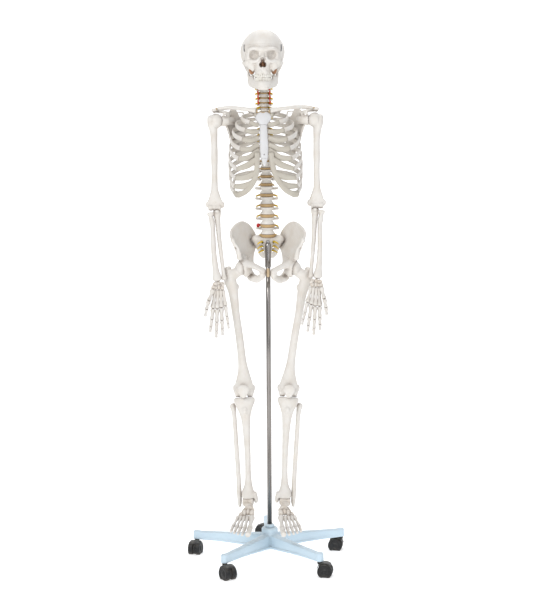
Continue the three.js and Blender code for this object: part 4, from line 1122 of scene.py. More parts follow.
# %% Cord and arteries
cord = [(mid(z), back_y(z) + mix(23.5, 18, min(1, share(z, SACRUM_TOP, AXIS_TOP) * 1.3)), z, 4.6)
    for z in range(int(SACRUM_TOP) - 10, int(AXIS_TOP) - 2, 18)]
wear(single("spinal_cord", [loft(cord, sides=12)], TRUNK), NERVE, "trunk", slot="cartilage")
for side, s in SIDES.items():
    path = [(mid(z) + s * (18 + 2.4 * (k % 2)), back_y(z) + 2, z, 2.8) for k,
        z in enumerate(range(1556, int(AXIS_TOP) - 1, 8))]
    wear(single(f"vertebral_artery_{side}", [loft(path, sides=10)], TRUNK), ARTERY, "trunk", slot="prolapse")

# %% Slipped disc
low, high = node_box("prolapsed_disc")
bulge = (low + high) / 2 - POLE
wear(clay("prolapsed_disc_bulge", [ball(bulge, (6, 7.4, 7.4)), ball(bulge + Vector((4, 0, 1)), (5, 8, 5.4)),
    ball(bulge + Vector((0, 2, -4)), (4, 5, 4))], (), TRUNK, voxel=0.9), PROLAPSE, "trunk", "prolapsed_disc",
    slot="prolapse")

# %% Atlas
def ring_bone(z, y, radii, half):
    """The atlas: a ring with two thick sides, wings and small tubercles."""
    x = mid(z)
    steps = [math.radians(a) for a in range(-90, 271, 30)]
    hoop = loft([(x + radii[0] * math.cos(a), y + radii[1] * math.sin(a), z, half, 3.4) for a in steps], sides=12,
        hint=(0, 0, 1))
    sides = pair(lambda s: [ball((x + s * 17, y - 2, z), (7, 9, half + 1)),
        loft([(x + s * 20, y, z, 3.6, 4.4), (x + s * 30, y + 1, z - 1, 3, 3.6), (x + s * 37, y + 2, z - 1, 3.4, 4)],
        sides=10, hint=(0, 0, 1))])
    return [hoop, *sides, ball((x, y - radii[1] - 2, z), (4, 3, 3.4)), ball((x, y + radii[1] + 1, z), (4, 3, 3.4))]


ATLAS = [(a + b) / 2 for a, b in zip(*node_box("atlas_vertebra"))]
wear(clay("atlas_C1", ring_bone(ATLAS[2], ATLAS[1] - POLE.y, (17.5, 18), 4.2), (), TRUNK, voxel=1.1, smooth=3), BONE,
    "atlas", "atlas_vertebra")
print("pieces", len(pieces))

# %% [markdown]
# ## Rib cage
# Each rib sweeps back from its vertebra, round the side and down to its front end, and its grey cartilage carries on
# to the breastbone. The lowest cartilages climb to the one above, and the last two pairs float.

# %% Rib tables
RIBS = [(50, 1521, 32, -24), (76, 1492, 48, -44), (95, 1466, 64, -56), (106, 1436, 74, -66), (113, 1405, 82, -72),
    (118, 1372, 88, -76), (121, 1338, 94, -76), (122, 1308, 100, -70), (121, 1282, 104, -60), (118, 1262, 106, -48),
    (110, 1262, 108, 2), (96, 1276, 84, 62)]
STERNUM_Z = [1513, 1483, 1461, 1439, 1417, 1399, 1388]


def sternum_y(z):
    return mix(-30, -86, share(z, 1526, 1350))


def sternum_x(z):
    """The breastbone hangs a little to the right of the column's line."""
    return mid(z) - 4.5

# %% Path of a rib
def rib_points(i, s):
    wide, z_front, x_front, y_front = RIBS[i]
    root = (THORACIC[11 - i] + THORACIC[12 - i]) / 2 + 4
    spine, t = back_y(root), i / 11
    back, middle = spine + mix(31, 38, t), mix(12, 30, t)
    def at(x, y, part):
        return [mid(root) + s * x, y, mix(root, z_front, part)]
    points = [at(wing(root) + 2.5, back - 14, 0), at(max(34, wide * 0.42), back - 6, 0.02)]
    if i < 11:
        points += [at(wide * 0.72, back - 4 - wide * 0.09, 0.14), at(wide * 0.97, middle + 24, 0.34)]
    if i < 10:
        points += [at(wide, middle - 16, 0.56), at((wide + x_front) / 2 + 5, (middle + y_front) / 2 - 14, 0.82)]
    return points + [at(x_front, y_front, 1)], root

# %% Rib
def rib(i, s):
    points, root = rib_points(i, s)
    x, y = mid(root), back_y(root)
    w, d = body_size("thoracic", root)
    head = [x + s * (w + 0.5), y + d * 0.7, root]
    neck = [mix(head[k], points[0][k], 0.55) + (0, 1.5, 0)[k] for k in range(3)]
    full = [head, neck] + points
    count = len(full) - 1
    rows = []
    for k, p in enumerate(full):
        tall = {0: 4.6, 1: 3.8, 2: 5, 3: 6}.get(k, 7.8 if i > 0 else 8)
        if k == count:
            tall = 7.6 if i < 10 else 2.2
        rows.append((*p, tall, 3.4 if k > 2 else 3.2))
    return loft(rows, sides=14, hint=(0, 0, 1) if i else (0.5 * s, 0.6, 0.5), steps=5)

# %% [markdown]
# ## Cartilage
# The first six cartilages run to the breastbone one by one. The next four join the margin, a bar that climbs from
# the tenth rib to the breastbone's lower end.

# %% Margin
MARGIN = [(23, -79, 1392), (24.6, -82, 1362), (28, -84, 1334), (36, -85, 1308), (49, -84, 1286), (66, -79, 1267),
    (88, -69, 1255), (105, -52, 1253)]


def margin_x(z):
    return mix(mid(z), sternum_x(z), min(1, max(0, share(z, 1290, 1370))))


def margin_point(s, t):
    """A place on the free edge of the rib cage, from the breastbone out to the tenth rib."""
    line = spline(MARGIN, 8)
    x, y, z = line[round(t * (len(line) - 1))]
    return [margin_x(z) + s * x, y, z]

# %% Path of a cartilage
def cartilage_rows(i, s):
    """A cartilage's stations from its rib's end to the breastbone, or to the cartilage above."""
    end = rib_points(i, s)[0][-1]
    if i < 6:
        z = STERNUM_Z[i]
        goal = [sternum_x(z) + s * (25 if z > 1495 else 16), sternum_y(z), z]
        dip = [mix(end[0], goal[0], 0.5), mix(end[1], goal[1], 0.5) - 5, mix(end[2], z, 0.5) - i * 2.2]
    else:
        goal = margin_point(s, {6: 0.1, 7: 0.34, 8: 0.54, 9: 0.82}[i])
        dip = [mix(end[0], goal[0], 0.5), mix(end[1], goal[1], 0.5) - 3, mix(end[2], goal[2], 0.5) - 5]
    wide = mix(7.4, 10.4, min(1, i / 6))
    return [(*end, 7.6, 3.8), (*dip, wide, 3.8), (*[mix(dip[k], goal[k], 0.6) for k in range(3)], wide, 3.8),
        (*goal, wide * 0.9, 3.6)]

# %% Both sides of the cage
for side, s in SIDES.items():
    for i in range(12):
        cad = f"rib_cage_{side}" if i < 10 else f"floating_rib_{i + 1}_{side}"
        wear(single(f"rib_{i + 1}_{side}", [rib(i, s)], TRUNK), BONE, "trunk", cad)
        if i < 10:
            wear(single(f"rib_{i + 1}_cartilage_{side}",
                [loft(cartilage_rows(i, s), sides=14, hint=(0, 0, 1), steps=5)], TRUNK), CARTILAGE, "trunk",
                slot="bone_plastic")
for side, s in SIDES.items():
    edge = [(margin_x(z) + s * x, y, z, 9, 3.4) for x, y, z in MARGIN]
    wear(single(f"costal_margin_{side}", [loft(edge, sides=14, hint=(s * 0.6, 0, 1), steps=5)], TRUNK), CARTILAGE,
        "trunk", slot="bone_plastic")
print("ribs", 24)

# %% [markdown]
# ## Breastbone and shoulders
# The breastbone is three plates in a line. Each collar bone is an S-shaped rod from it to the acromion, and each
# shoulder blade is a thin dished plate with thick borders, a spine, the acromion, the coracoid and the socket.

# %% Breastbone
def plate_rows(stations):
    return [(sternum_x(z), sternum_y(z), z, w, d) for z, w, d in stations]


BREASTBONE = {
    "manubrium": ([loft(plate_rows([(1525, 20, 5), (1519, 26, 6.6), (1508, 28, 7), (1497, 24, 6.6), (1487, 17, 6.4),
        (1482.6, 14, 6)]), sides=24)], [ball((sternum_x(1530), -31, 1532), (11, 16, 9)),
        *pair(lambda s: [ball((sternum_x(1526) + s * 25, -34, 1531), (11, 9, 9.6))])]),
    "sternal_body": ([loft(plate_rows([(1482.4, 13.4, 6), (1474, 13.4, 6.4), (1440, 14, 6), (1412, 15, 6),
        (1396, 15, 6), (1384, 14, 5.6), (1374, 12.6, 5), (1371, 11, 4)]), sides=24)],
        [loft([(sternum_x(1385), -96, 1385, 2.4), (sternum_x(1385), -76, 1385, 2.4)], sides=12, steps=1)]),
    "xiphoid": ([loft(plate_rows([(1371.4, 11.4, 4.6), (1366, 10, 4), (1358, 7, 3.6), (1350, 4.6, 3),
        (1347, 2.6, 2)]), sides=16)], []),
}
for name, (adds, cuts) in BREASTBONE.items():
    wear(clay(name, adds, cuts, TRUNK, voxel=1.2, smooth=3), STERNUM, "trunk", "sternum")

print("breastbone plates", len(BREASTBONE))

# %% Collar bones and shoulder blades
for side, s in SIDES.items():
    c = JOINTS[side]["shoulder"] - POLE
    end, start = Vector((c.x - s * 7, c.y - 6, c.z + 40)), Vector((sternum_x(1526) + s * 22, -36, 1531))
    rows = [tuple(start.lerp(end, t) + Vector((0, y, z))) + (r, r * q) for t, y, z, r,
        q in [(0, 0, 0, 6, 0.9), (0.02, 0, 0, 9.4, 0.9), (0.1, -3, 1, 8.6, 0.86), (0.22, -7, 2, 6.6, 0.86),
        (0.36, -9, 3, 6.6, 0.9), (0.52, -3, 5, 6.6, 0.9), (0.66, 5, 6, 6.6, 0.9), (0.82, 7, 4, 6.4, 1.1),
        (0.93, 3, 1, 6, 1.4), (0.99, 0, 0, 5.4, 1.4), (1, 0, 0, 3, 1)]]
    wear(clay(f"clavicle_bone_{side}", [loft(rows, sides=18, hint=(0, 0.3, 1))], (), TRUNK, voxel=1.2, smooth=3),
        BONE, "trunk", f"clavicle_{side}")
    blade = moved(Matrix.Translation((-62, 56, 0)) @ Matrix.Rotation(math.radians(-44), 4,
        "Z") @ Matrix.Rotation(math.radians(9), 4, "X"),
        [loft([(-7, -1, 31, 23, 1.9), (2, 0, 20, 37, 2.2), (-1, 2, 0, 40, 2.2), (-6, 3.4, -16, 39, 2.2),
        (-15, 4, -34, 35, 2.2), (-25.5, 3, -69, 31, 2.2), (-32.5, 1, -100, 19, 2.8), (-35, -1, -116, 8, 3)],
        sides=28), loft([(44, -2, -8, 5), (24, 0, -32, 4.4), (6, 2, -69, 3.8), (-14, 1, -100, 4),
        (-31, -1, -115, 4.6)], sides=12),
        loft([(-34, 0, 32, 2.8), (-43, 1.4, 4, 2.5), (-52, 2, -28, 2.5), (-56, 2, -66, 2.6), (-51, 0, -98, 3.2),
        (-40, -1, -116, 4.4)], sides=12),
        loft([(-34, 0, 32, 2.8), (-4, -1, 32, 2.2), (22, -1, 27, 2.6), (40, -3, 18, 5)], sides=12)])
    neck = loft([(-19, -1, 0, 13.6, 18.6), (-26, 0, 0, 13.4, 18), (-36, 5, 0, 12.4, 15), (-46, 22, 1, 8, 13),
        (-58, 46, 2, 5, 14)], sides=20, hint=(0, 1, 0))
    fin = loft([(-94, 86, 8, 5, 1.8), (-78, 78, 14, 10, 2), (-58, 66, 21, 13, 2.4), (-26, 44, 30, 12, 3.4),
        (-2, 18, 35, 13, 5), (5, -6, 36, 11, 6), (5, -16, 36, 6, 4)], sides=16, hint=(-0.4, 1, 0))
    ridge = loft([(-92, 92, 9, 2.6), (-62, 79, 23, 3.6), (-28, 56, 33, 4.4), (0, 28, 38, 5)], sides=12)
    coracoid = loft([(-40, 14, 8, 7), (-39, 0, 21, 6), (-34, -14, 25, 5.4), (-27, -22, 20.6, 5), (-25, -25, 18, 2.6)],
        sides=14)
    wear(clay(f"scapula_bone_{side}", [mirrored(s, [blade, neck, fin, ridge, coracoid])],
        [mirrored(s, [ball((0, 0, 0), SHOULDER_SOCKET, fine=30), loft([(-15, 0, 0, PIN_BORE), (-33, 0, 0, PIN_BORE)],
        hint=(0, 1, 0), steps=1)])], TRUNK @ Matrix.Translation(c), voxel=1.3, smooth=3), BONE, "trunk",
        f"scapula_{side}")
    wear(single(f"acromion_pad_{side}", [ball(end + Vector((s * 5, 0, -1.4)), (4, 7.6, 4.6))], TRUNK), GRISTLE,
        "trunk", slot="cartilage")
    wear(single(f"collar_pad_{side}", [ball(start + Vector((-s * 1.4, 2, -1)), (3, 8, 8.4))], TRUNK), GRISTLE,
        "trunk", slot="cartilage")
print("pieces", len(pieces))

# %% [markdown]
# ## Pelvis
# Each hip bone fans from its socket up to the crest, and runs forward and down in two bars round the obturator
# hole. The sacrum wedges between them, with its holes, nerves and the tail bones, and a tan pad joins them in front.

# %% Hip bone tables
HIP_Z = 1010
CREST = [(42, 72, 1104), (49, 66, 1124), (60, 53, 1142), (72, 36, 1154), (85, 14, 1160), (100, -10, 1156),
    (113, -32, 1145), (122, -50, 1130), (121, -65, 1115), (116, -76, 1102)]
ROOT_LINE = [(46, 60, 1084), (50, 48, 1074), (54, 32, 1062), (58, 14, 1050), (64, -6, 1040), (72, -24, 1034),
    (80, -40, 1033), (87, -54, 1038), (92, -62, 1047), (97, -69, 1060)]

print("crest points", len(CREST))

# %% Hip bone
def hip_shapes(h):
    fill = zip(spline(CREST, 3), spline(ROOT_LINE, 3))
    crest = spline(CREST, 3)
    parts = []
    for k, (top, root) in enumerate(fill):
        before, after = crest[max(k - 1, 0)], crest[min(k + 1, len(crest) - 1)]
        tangent = [b - a for a, b in zip(before, after)]
        middle = [mix(a, b, 0.5) + bow for a, b, bow in zip(top, root, (4, 4, -2))]
        parts.append(loft([(*root, 5.6, 6), (*middle, 5.6, 2.4), (*top, 5.4, 4)], sides=8, hint=tangent, steps=4))
    parts.append(loft([(*p, 5.6, 4.8) for p in CREST], sides=14, hint=(0, 0, 1)))
    parts.append(loft([(117, -76, 1104, 5.4), (108, -76, 1090, 4.6), (99, -74, 1076, 5), (97, -70, 1060, 8),
        (94, -60, 1042, 10)], sides=14))
    parts.append(loft([(42, 71, 1106, 6), (44, 68, 1092, 7), (48, 56, 1077, 8), (55, 30, 1058, 9), (59, 6, 1042, 11),
        (60, -20, 1032, 12), (58, -44, 1024, 12), (50, -66, 1019, 10)], sides=12))
    parts += [ball((80, -38, 1010), (27.6, 32, 32), fine=30), ball((82, -24, 1038), (17, 26, 16)),
        ball((66, 2, 1016), (13, 14, 24))]
    parts.append(loft([(72, -16, 1006, 15, 16), (63, -5, 990, 14, 15), (57, -6, 979, 15, 16), (51, -12, 972, 13, 14)],
        sides=16))
    parts.append(ball((50, -12, 975), (15, 18, 13)))
    parts.append(loft([(54, -18, 976, 11, 14), (45, -38, 973, 9, 13), (34, -60, 974, 8, 13), (24, -78, 981, 8.4, 13),
        (15, -89, 990, 8, 14)], sides=16))
    parts.append(loft([(79, -48, 1028, 12, 17), (66, -62, 1024, 11, 15), (50, -75, 1019, 9, 13),
        (33, -86, 1012, 8.4, 12), (18, -92, 1004, 7.6, 13), (12, -93, 998, 7, 13)], sides=16, hint=(0.4, 0, 1)))
    parts += [ball((18, -90, 997), (12, 8, 18)), ball((116, -77, 1103), (8, 7, 9)), ball((97, -71, 1060), (9, 8, 10)),
        loft([(66, 10, 1010, 6), (57, 20, 1001, 2.4)], sides=10, steps=1)]
    x, y, z = h
    cuts = [ball((x, y, z), HIP_SOCKET, fine=30),
        loft([(x + 4, y - 3, z - 1, HIP_SOCKET), (x + 40, y - 30, z - 12, 38)], sides=26, hint=(0, 1, 0), steps=1),
        loft([(x + 4, y + 3, z - 6, HIP_SOCKET), (x + 40, y + 20, z - 30, 37)], sides=26, hint=(0, 1, 0), steps=1),
        loft([(x - 20, y, z, PIN_BORE), (x - 38, y, z, PIN_BORE)], hint=(0, 1, 0), steps=1),
        block((0, -90, 1000), (12, 60, 70)), block((x - 6, y - 6, z - 30), (16, 14, 20))]
    return parts, cuts

# %% Both hip bones
for side, s in SIDES.items():
    h = JOINTS[side]["hip"] - POLE
    adds, cuts = hip_shapes((abs(h.x), h.y, HIP_Z))
    wear(clay(f"hip_bone_shell_{side}", [mirrored(s, adds)], [mirrored(s, cuts)],
        TRUNK @ Matrix.Translation((0, 0, h.z - HIP_Z)), voxel=1.5, smooth=6), BONE, "trunk", f"hip_bone_{side}")

# %% [markdown]
# ## Sacrum and tail
# The sacrum is a wedge of one loft with three faint lines where its vertebrae fused. Four pairs of nerves would be
# true to life, and three are enough to show how they leave through the holes.

# %% Sacrum
HOLES = [(1094, 18, 24), (1078, 17, 36), (1063, 15, 46)]
wedge = pair(lambda s: [ball((s * 36, 42, 1102), (20, 16, 15))]) + [loft([(0, 34, 1111.6, 26, 15.4),
    (0, 35, 1107, 34, 16.4), (0, 38, 1100, 46, 17), (0, 42, 1090, 48, 16), (0, 50, 1077, 43, 12.6),
    (0, 60, 1062, 36, 10), (0, 66, 1047, 30, 7.6), (0, 67, 1037, 20, 5.6)], sides=30)]
wedge += [loft([(-22 + k * 3, 22 + k * 11, 1099 - k * 14, 2), (22 - k * 3, 22 + k * 11, 1099 - k * 14, 2)], sides=8,
    steps=1) for k in range(3)]
wedge += [ball((0, 58 + k * 8, 1100 - k * 14), (3.4, 6, 6)) for k in range(4)]
holes = [loft([(s * x, y - 14, z, 3.6), (s * (x + 1), y + 30, z - 6, 3.2)], sides=12, steps=1) for z, x, y in HOLES
    for s in (-1, 1)]
wear(clay("sacrum_bone", wedge, holes, TRUNK, voxel=1.4, smooth=3), BONE, "trunk", "sacrum")

# %% Tail bones and nerves
wear(clay("coccyx", [ball((0, 66, 1031), (13, 5, 5)), ball((0, 63, 1024), (7, 4.6, 4.4)),
    ball((0, 58, 1018), (5, 4, 3.6)), ball((0, 53, 1014), (3.4, 3.4, 3))], (), TRUNK, voxel=1.0), BONE_END, "trunk")
for k, (z, x, y) in enumerate(HOLES):
    wear(single(f"sacral_nerves_{k + 1}",
        [loft([(s * x, y + 4, z, 2.6), (s * (x + 3), y - 6, z + 1, 3), (s * (x + 11), y - 9, z - 2, 2.4),
        (s * (x + 18), y - 8, z - 8, 1.4)], sides=10) for s in (-1, 1)], TRUNK), NERVE, "trunk", slot="cartilage")

# %% Pubic pad and sleeve bracket
wear(clay("pubic_pad", [loft([(0, -92, 983, 4.6, 6), (0, -93, 990, 5.2, 8), (0, -93, 1004, 5.4, 8),
    (0, -92, 1011, 4.6, 6)], sides=18)], (), TRUNK, voxel=1.0), GRISTLE, "trunk", "pubic_symphysis", slot="cartilage")
wear(single("sleeve_bracket", [block((0, 25, 1080), (9, 33, 11)), block((0, 39, 1080), (22, 4, 20))], TRUNK), CHROME,
    "trunk", slot="chromed_steel")
print("pieces", len(pieces))

# %% [markdown]
# ## Skull
# The braincase is an egg, wider behind, with the face built on its front: brow, nose, cheek bones and their arches,
# and the jaw's arch. The eye sockets, nose and cranial cavity are hollowed, and the cap parts along its saw line.

# %% Braincase
SAW_OVERLAP = 0.5
SKULL = TRUNK @ Matrix.Translation((mid(1725), 0, 0))
CUT_Z = node_box("skull_cap")[0].z
EGG = [ball((-1, 34, 1729), (74.6, 71, 71), fine=44), ball((0, -12, 1733), (61, 64, 66), fine=40),
    ball((-0.5, 14, 1735.5), (68, 80, 66), fine=44)]
CAVE = [ball((0, 34, 1731), (66, 63, 62), fine=36), ball((0, -14, 1748), (52, 54, 45), fine=36)]

print("saw line at", round(CUT_Z))

# %% Face
def face():
    parts = [loft([(0, -54, 1698, 36, 20), (0, -57, 1684, 32, 24), (0, -58, 1668, 26, 24), (0, -58, 1652, 26.5, 24),
        (0, -58, 1645, 25, 22)], sides=26),
        loft([(0, -74, 1722, 8, 7), (0, -80, 1710, 6.4, 6), (0, -86, 1699, 6.4, 5), (0, -90, 1691, 6, 3.4)],
        sides=12), loft([(-55, -42, 1716, 5, 6), (-47, -60, 1724, 6, 7), (-30, -73, 1729, 6.4, 8),
        (-8, -78, 1725, 8, 7), (8, -78, 1725, 8, 7), (30, -73, 1729, 6.4, 8), (47, -60, 1724, 6, 7),
        (55, -42, 1716, 5, 6)], sides=12, hint=(0, 0, 1)), loft([(0, -34, 1690, 30, 14), (0, -30, 1664, 22, 8)],
        sides=16), ball((0, 96, 1700), (10, 6, 8)), ball((0, -81, 1666), (4, 5, 4)),
        ball((0, 34, 1680), (44, 46, 18))]
    parts += pair(lambda s: [
        ball((s * 49, -56, 1684), (12, 12, 13)), ball((s * 37, -62, 1676), (15, 10, 14)),
        ball((s * 45, -58, 1708), (10, 12, 18)), ball((s * 8, -70, 1708), (10, 11, 18)), ball((s * 30, -64, 1692),
            (16, 12, 7)),
        ball((s * 37, -31, 1666), (11, 6, 20)), loft([(s * 54, -46, 1718, 5, 6), (s * 55, -51, 1706, 4.6, 6),
            (s * 51, -57, 1692, 7, 7)], sides=12),
        loft([(s * 48, -62, 1690, 6, 6), (s * 32, -71, 1687, 6, 6), (s * 17, -77, 1690, 5.6, 6),
            (s * 10, -80, 1702, 4.6, 6)], sides=12),
        loft([(s * 50, -56, 1682, 9, 5), (s * 62, -38, 1686, 6, 3.4), (s * 67, -14, 1688, 5, 3),
            (s * 66, 6, 1689.5, 5, 3.2), (s * 60, 20, 1691, 7, 5)], sides=14, hint=(0, 0, 1)),
        loft([(s * 40, -58, 1678, 10, 9), (s * 28, -63, 1660, 8, 9)], sides=12), ball((s * 56, 36, 1692),
            (11, 18, 16)),
        loft([(s * 55, 38, 1688, 10, 12), (s * 52, 35, 1674, 8, 9), (s * 50, 33, 1664, 4, 5)], sides=14,
            hint=(1, 0, 0)),
        ball((s * 14, 18, 1664), (6, 10, 5)), ball((s * 48, -28, 1712), (12, 22, 20)),
        ball((s * 17, -60, 1650), (7, 18, 8)), ball((s * 8, -79, 1652), (7, 5, 10))])
    return parts

# %% Hollows of the face
def face_holes():
    cuts = [loft([(0, 28, 1712, 16), (0, 26, 1650, 16)], sides=20, steps=1), block((0, 40, 1646), (140, 96, 26)),
        ball((0, -86, 1688), (7, 16, 13)), *pair(lambda s: [ball((s * 5.4, -82, 1676.5), (6.6, 20, 9))]),
        ball((0, -52, 1680), (9, 20, 12)), ball((0, -44, 1644), (18, 24, 8))]
    cuts += pair(lambda s: [
        loft([(s * 30.4, -98, 1708, 17, 16.4), (s * 29.8, -78, 1708.4, 16.8, 16.4), (s * 29, -70, 1708.6, 15.6, 15.2),
            (s * 28, -62, 1708.6, 12, 12), (s * 27, -57, 1708.6, 5, 5)], sides=24),
        loft([(s * 67, 24, 1686, 3), (s * 50, 24, 1686, 2.4)], sides=10, steps=1)])
    return cuts

# %% Cutting blocks
def above(z):
    return block((0, 0, z + 100), (400, 400, 200))


def below(z):
    return block((0, 0, z - 100), (400, 400, 200))

# %% Skull and cap
wear(clay("skull_bone", EGG + face(), CAVE + face_holes() + [above(CUT_Z + SAW_OVERLAP)], SKULL, voxel=1.35,
    smooth=2), BONE, "head", "skull")
wear(clay("skull_cap_bone", EGG, CAVE + [below(CUT_Z - SAW_OVERLAP)], SKULL, voxel=1.35, smooth=2), BONE, "cap",
    "skull_cap")

# %% Painted shade sheets in the nose and behind the cheeks
# Brown sheets in the recess behind each cheek bone and in the nasal cavity are painted shade, where the skull falls
# dark.
for side, s in SIDES.items():
    wear(clay(f"cheek_lining_{side}", [ball((s * 37, -33.4, 1665), (9.6, 5, 16))], (), SKULL, voxel=1.2), SHADE_SHEET,
        "head")
wear(clay("nose_shade_sheet", [ball((0, -56, 1681), (12, 10, 16)),
    loft([(0, -70, 1692, 1, 10), (0, -72, 1680, 1, 11), (0, -74, 1671, 1.2, 8)], sides=10)], (), SKULL, voxel=1.0),
    SHADE_SHEET, "head")

# %% [markdown]
# ## Teeth
# Each tooth is its own small loft set on an arch, so no two neighbours merge. A row of angles and widths drives both
# sides, and the two rows meet in a flat bite.

# %% Tooth
def tooth(angle, top, bottom, arch, width, thick):
    """One tooth on the dental arch at an angle from the midline."""
    a = math.radians(angle)
    x, y = arch[0] * math.sin(a), arch[2] - arch[1] * math.cos(a)
    tangent = (arch[0] * math.cos(a), arch[1] * math.sin(a), 0)
    step = bottom - top
    return loft([(x * 0.97, y + 0.8, top, width * 0.6, thick * 0.7), (x, y, top + step * 0.3, width * 0.82, thick),
        (x, y, top + step * 0.75, width, thick * 0.92), (x, y, top + step * 0.96, width * 0.92, thick * 0.7),
        (x, y, bottom, width * 0.7, thick * 0.4)], sides=12, hint=tangent)


# %% Both rows of teeth
UPPER_ARCH, LOWER_ARCH = (25, 23.5, -57), (24, 22, -56.4)
UPPER_GUM, UPPER_BITE = 1647.5, 1636.6
LOWER_GUM, LOWER_BITE = 1625, 1636.0
UPPER = [(7.8, 4.2, 3.2), (22.5, 3.5, 3), (36.5, 3.9, 3.8), (49, 3.6, 4.2), (60.5, 3.6, 4.4), (74, 5, 5), (90, 5, 5),
    (105, 4.4, 4.6)]
LOWER = [(6, 2.8, 3), (17.5, 3, 3), (29.5, 3.5, 3.6), (42, 3.6, 3.8), (54, 3.7, 4), (69, 5.4, 4.8), (87, 5.2, 4.8),
    (104, 4.6, 4.6)]
for side, s in SIDES.items():
    for k, ((angle, w, t), (angle2, w2, t2)) in enumerate(zip(UPPER, LOWER)):
        wear(single(f"upper_tooth_{k + 1}_{side}", [tooth(s * angle, UPPER_GUM, UPPER_BITE, UPPER_ARCH, w, t)],
            SKULL), TOOTH, "head")
        wear(single(f"lower_tooth_{k + 1}_{side}", [tooth(s * angle2, LOWER_GUM, LOWER_BITE, LOWER_ARCH, w2, t2)],
            SKULL), TOOTH, "jaw")

print("teeth", 4 * len(UPPER))

# %% [markdown]
# ## Jaw
# The body of the jaw is a horseshoe loft, and each branch climbs from its end to a knob and a beak. The knobs sit on
# the jaw's turning joint, and two small springs and hooks carry the jaw and the cap.

# %% Jaw
def jaw():
    def half(s):
        return [(s * 45, -9, 1630, 17, 5), (s * 41, -24, 1628, 19, 5.6), (s * 35, -42, 1621, 16, 6),
            (s * 22, -65, 1614, 14.6, 6.4), (s * 9, -76, 1611.6, 16, 6.8)]
    parts = [loft(half(-1) + [(0, -78, 1611, 16.4, 7)] + half(1)[::-1], sides=16, hint=(0, 0.15, 1)),
        ball((0, -79, 1603), (14, 6, 9))]
    parts += pair(lambda s: [ball((s * 34, -34, 1635), (4.6, 15, 11)),
        loft([(s * 49, -5, 1664, 14, 3.6), (s * 48, -7, 1650, 15.6, 4.6), (s * 46.4, -8, 1636, 17, 5.4),
        (s * 44, -13, 1621, 15, 6)], sides=16, hint=(0, 1, 0)),
        loft([(s * 48.6, 5, 1660, 6, 3), (s * 49.4, 6, 1671, 4, 4), (s * 50, 6, 1677, 3.6, 7)], sides=12,
        hint=(0, 1, 0)), ball((s * 50, 6, 1679), (8.6, 4.6, 4.4)),
        loft([(s * 48.6, -15, 1658, 5.6, 2.6), (s * 49, -18, 1671, 4.2, 2.4), (s * 49.4, -18, 1680, 1.8, 1.6)],
        sides=10, hint=(0, 1, 0)), ball((s * 10, -78, 1600), (8, 6, 6))])
    return parts

# %% Jaw, springs and hooks
COIL_RADIUS = 2.2
COIL_TURN = 0.9
wear(clay("mandible_bone", jaw(), pair(lambda s: [ball((s * 23, -72, 1612), (1.8, 6, 1.8))]), SKULL, voxel=1.2,
    smooth=3), BONE, "jaw", "mandible")
for side, s in SIDES.items():
    coil = [(s * 47 + COIL_RADIUS * math.cos(k * COIL_TURN), -16 + k * 0.16, 1682 - k * 0.9, 0.5)
        for k in range(0, 28)]
    wear(single(f"jaw_spring_{side}",
        [loft([(x, y + COIL_RADIUS * math.sin(k * COIL_TURN), z, r) for k, (x, y, z, r) in enumerate(coil)], sides=6,
        hint=(0, 0.2, 1), steps=3)], SKULL), STEEL, "head", slot="chromed_steel")
    wear(single(f"cap_hook_{side}", [ball((s * 61, -23, CUT_Z - 16), (2.6, 4, 3.4)),
        loft([(s * 61.6, -23, CUT_Z - 17, 1.8), (s * 62.4, -21.5, CUT_Z - 6, 1.7), (s * 61.8, -20, CUT_Z + 4, 1.7)],
        sides=10)], SKULL), STEEL, "head", slot="chromed_steel")
print("pieces", len(pieces))

# %% [markdown]
# ## Setting
# A pale floor curves up behind the figure, so no horizon cuts through it. It glows a little, because plain white
# paper would render grey under these lights.

# %% Backdrop
PAPER = srgb(246, 246, 245)
PAPER_GLOW = 0.42
FLOOR_WIDTH = 14


def backdrop():
    """A floor that sweeps up into a wall."""
    bm = bmesh.new()
    profile = [(-6.0, 0.0), (1.6, 0.0), (2.4, 0.06), (3.0, 0.3), (3.4, 0.8), (3.5, 1.6), (3.5, 6.0)]
    line = [bm.verts.new((-FLOOR_WIDTH / 2, y, z)) for y, z in profile]
    edges = [bm.edges.new(pair) for pair in zip(line, line[1:])]
    made = bmesh.ops.extrude_edge_only(bm, edges=edges)["geom"]
    bmesh.ops.translate(bm, vec=(FLOOR_WIDTH, 0, 0), verts=[g for g in made if isinstance(g, bmesh.types.BMVert)])
    bmesh.ops.recalc_face_normals(bm, faces=bm.faces)
    mesh = bpy.data.meshes.new("floor")
    bm.to_mesh(mesh)
    bm.free()
    floor = bpy.data.objects.new("floor", mesh)
    bpy.context.scene.collection.objects.link(floor)
    step = floor.modifiers.new("smooth", "SUBSURF")
    step.levels = step.render_levels = 3
    mesh.shade_smooth()
    mat = bpy.data.materials.new("floor_paper")
    mat.use_nodes = True
    skin = mat.node_tree.nodes["Principled BSDF"]
    skin.inputs["Base Color"].default_value = PAPER
    skin.inputs["Roughness"].default_value = 0.9
    skin.inputs["Emission Color"].default_value = (1, 1, 1, 1)
    skin.inputs["Emission Strength"].default_value = PAPER_GLOW
    mesh.materials.append(mat)

# %% [markdown]
# ## Lights
# The key stands high on the left and makes the shadows of the ribs. The fill, top and strip lights lift them, so that
# the white bone stays readable from the side.

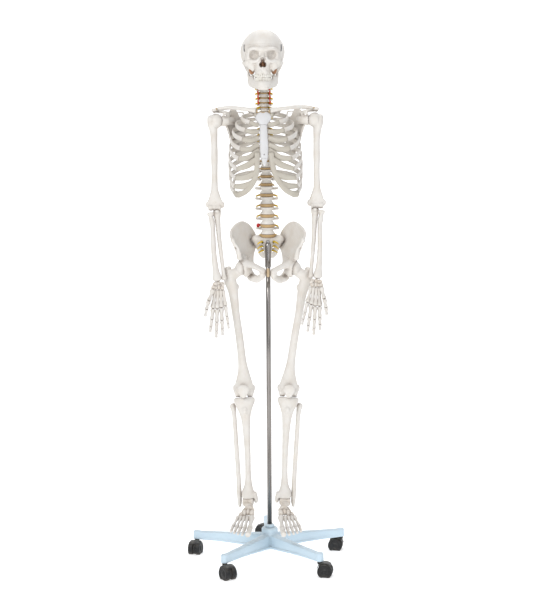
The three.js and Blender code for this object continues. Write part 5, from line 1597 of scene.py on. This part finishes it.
# %% Area light
def area_light(name, place, aim, size, watts, colour=(1, 1, 1)):
    data = bpy.data.lights.new(name, "AREA")
    data.shape, data.size, data.energy, data.color = "RECTANGLE", size[0], watts, colour
    data.size_y = size[1]
    lamp = bpy.data.objects.new(name, data)
    lamp.location = place
    lamp.rotation_euler = (Vector(aim) - Vector(place)).to_track_quat("-Z", "Y").to_euler()
    bpy.context.scene.collection.objects.link(lamp)


# %% Lights
WORLD_TONE = (0.93, 0.95, 1.0, 1)
WORLD_STRENGTH = 0.42
backdrop()
area_light("key_light", (-1.9, -3.2, 3.1), (0, 0, 1.1), (1.9, 1.9), 74, (1.0, 0.99, 0.975))
area_light("fill_light", (2.6, -2.6, 1.9), (0, 0, 0.9), (2.4, 2.6), 24, (0.97, 0.985, 1.0))
area_light("top_light", (0.2, 0.6, 3.4), (0, 0.0, 0.9), (2.4, 1.6), 26)
area_light("front_strip", (0.25, -5.6, 1.3), (0, 0, 1.0), (0.8, 3.4), 26)
world = bpy.data.worlds.new("studio")
world.use_nodes = True
world.node_tree.nodes["Background"].inputs["Color"].default_value = WORLD_TONE
world.node_tree.nodes["Background"].inputs["Strength"].default_value = WORLD_STRENGTH
bpy.context.scene.world = world
bpy.context.scene.view_settings.view_transform = "Standard"
print("lights", len(bpy.data.lights))

# %% [markdown]
# ## Camera
# The camera stands far back with a long lens, at the height of the lower spine, and looks slightly down. A short
# lens from near by would swell the middle of the figure.

# %% Camera
LENS_MM = 74.4
SENSOR_MM = 36
CAMERA_BACK = 4.25
CAMERA_ASIDE = 0.0035
CAMERA_HEIGHT = 1.271
CAMERA_TILT = 5.24
CAMERA_ROLL = 0.38
lens = bpy.data.cameras.new("camera")
lens.lens, lens.sensor_width, lens.sensor_fit = LENS_MM, SENSOR_MM, "AUTO"
lens.clip_end = 50
camera = bpy.data.objects.new("camera", lens)
camera.location = (POLE.x / 1000 - CAMERA_ASIDE, POLE.y / 1000 - CAMERA_BACK, CAMERA_HEIGHT)
camera.rotation_euler = (math.radians(90 - CAMERA_TILT), math.radians(CAMERA_ROLL), 0)
bpy.context.scene.collection.objects.link(camera)
bpy.context.scene.camera = camera
print("camera", round(CAMERA_BACK, 2), "m back, lens", LENS_MM, "mm")

# %% Pieces
print("pieces", len(pieces))
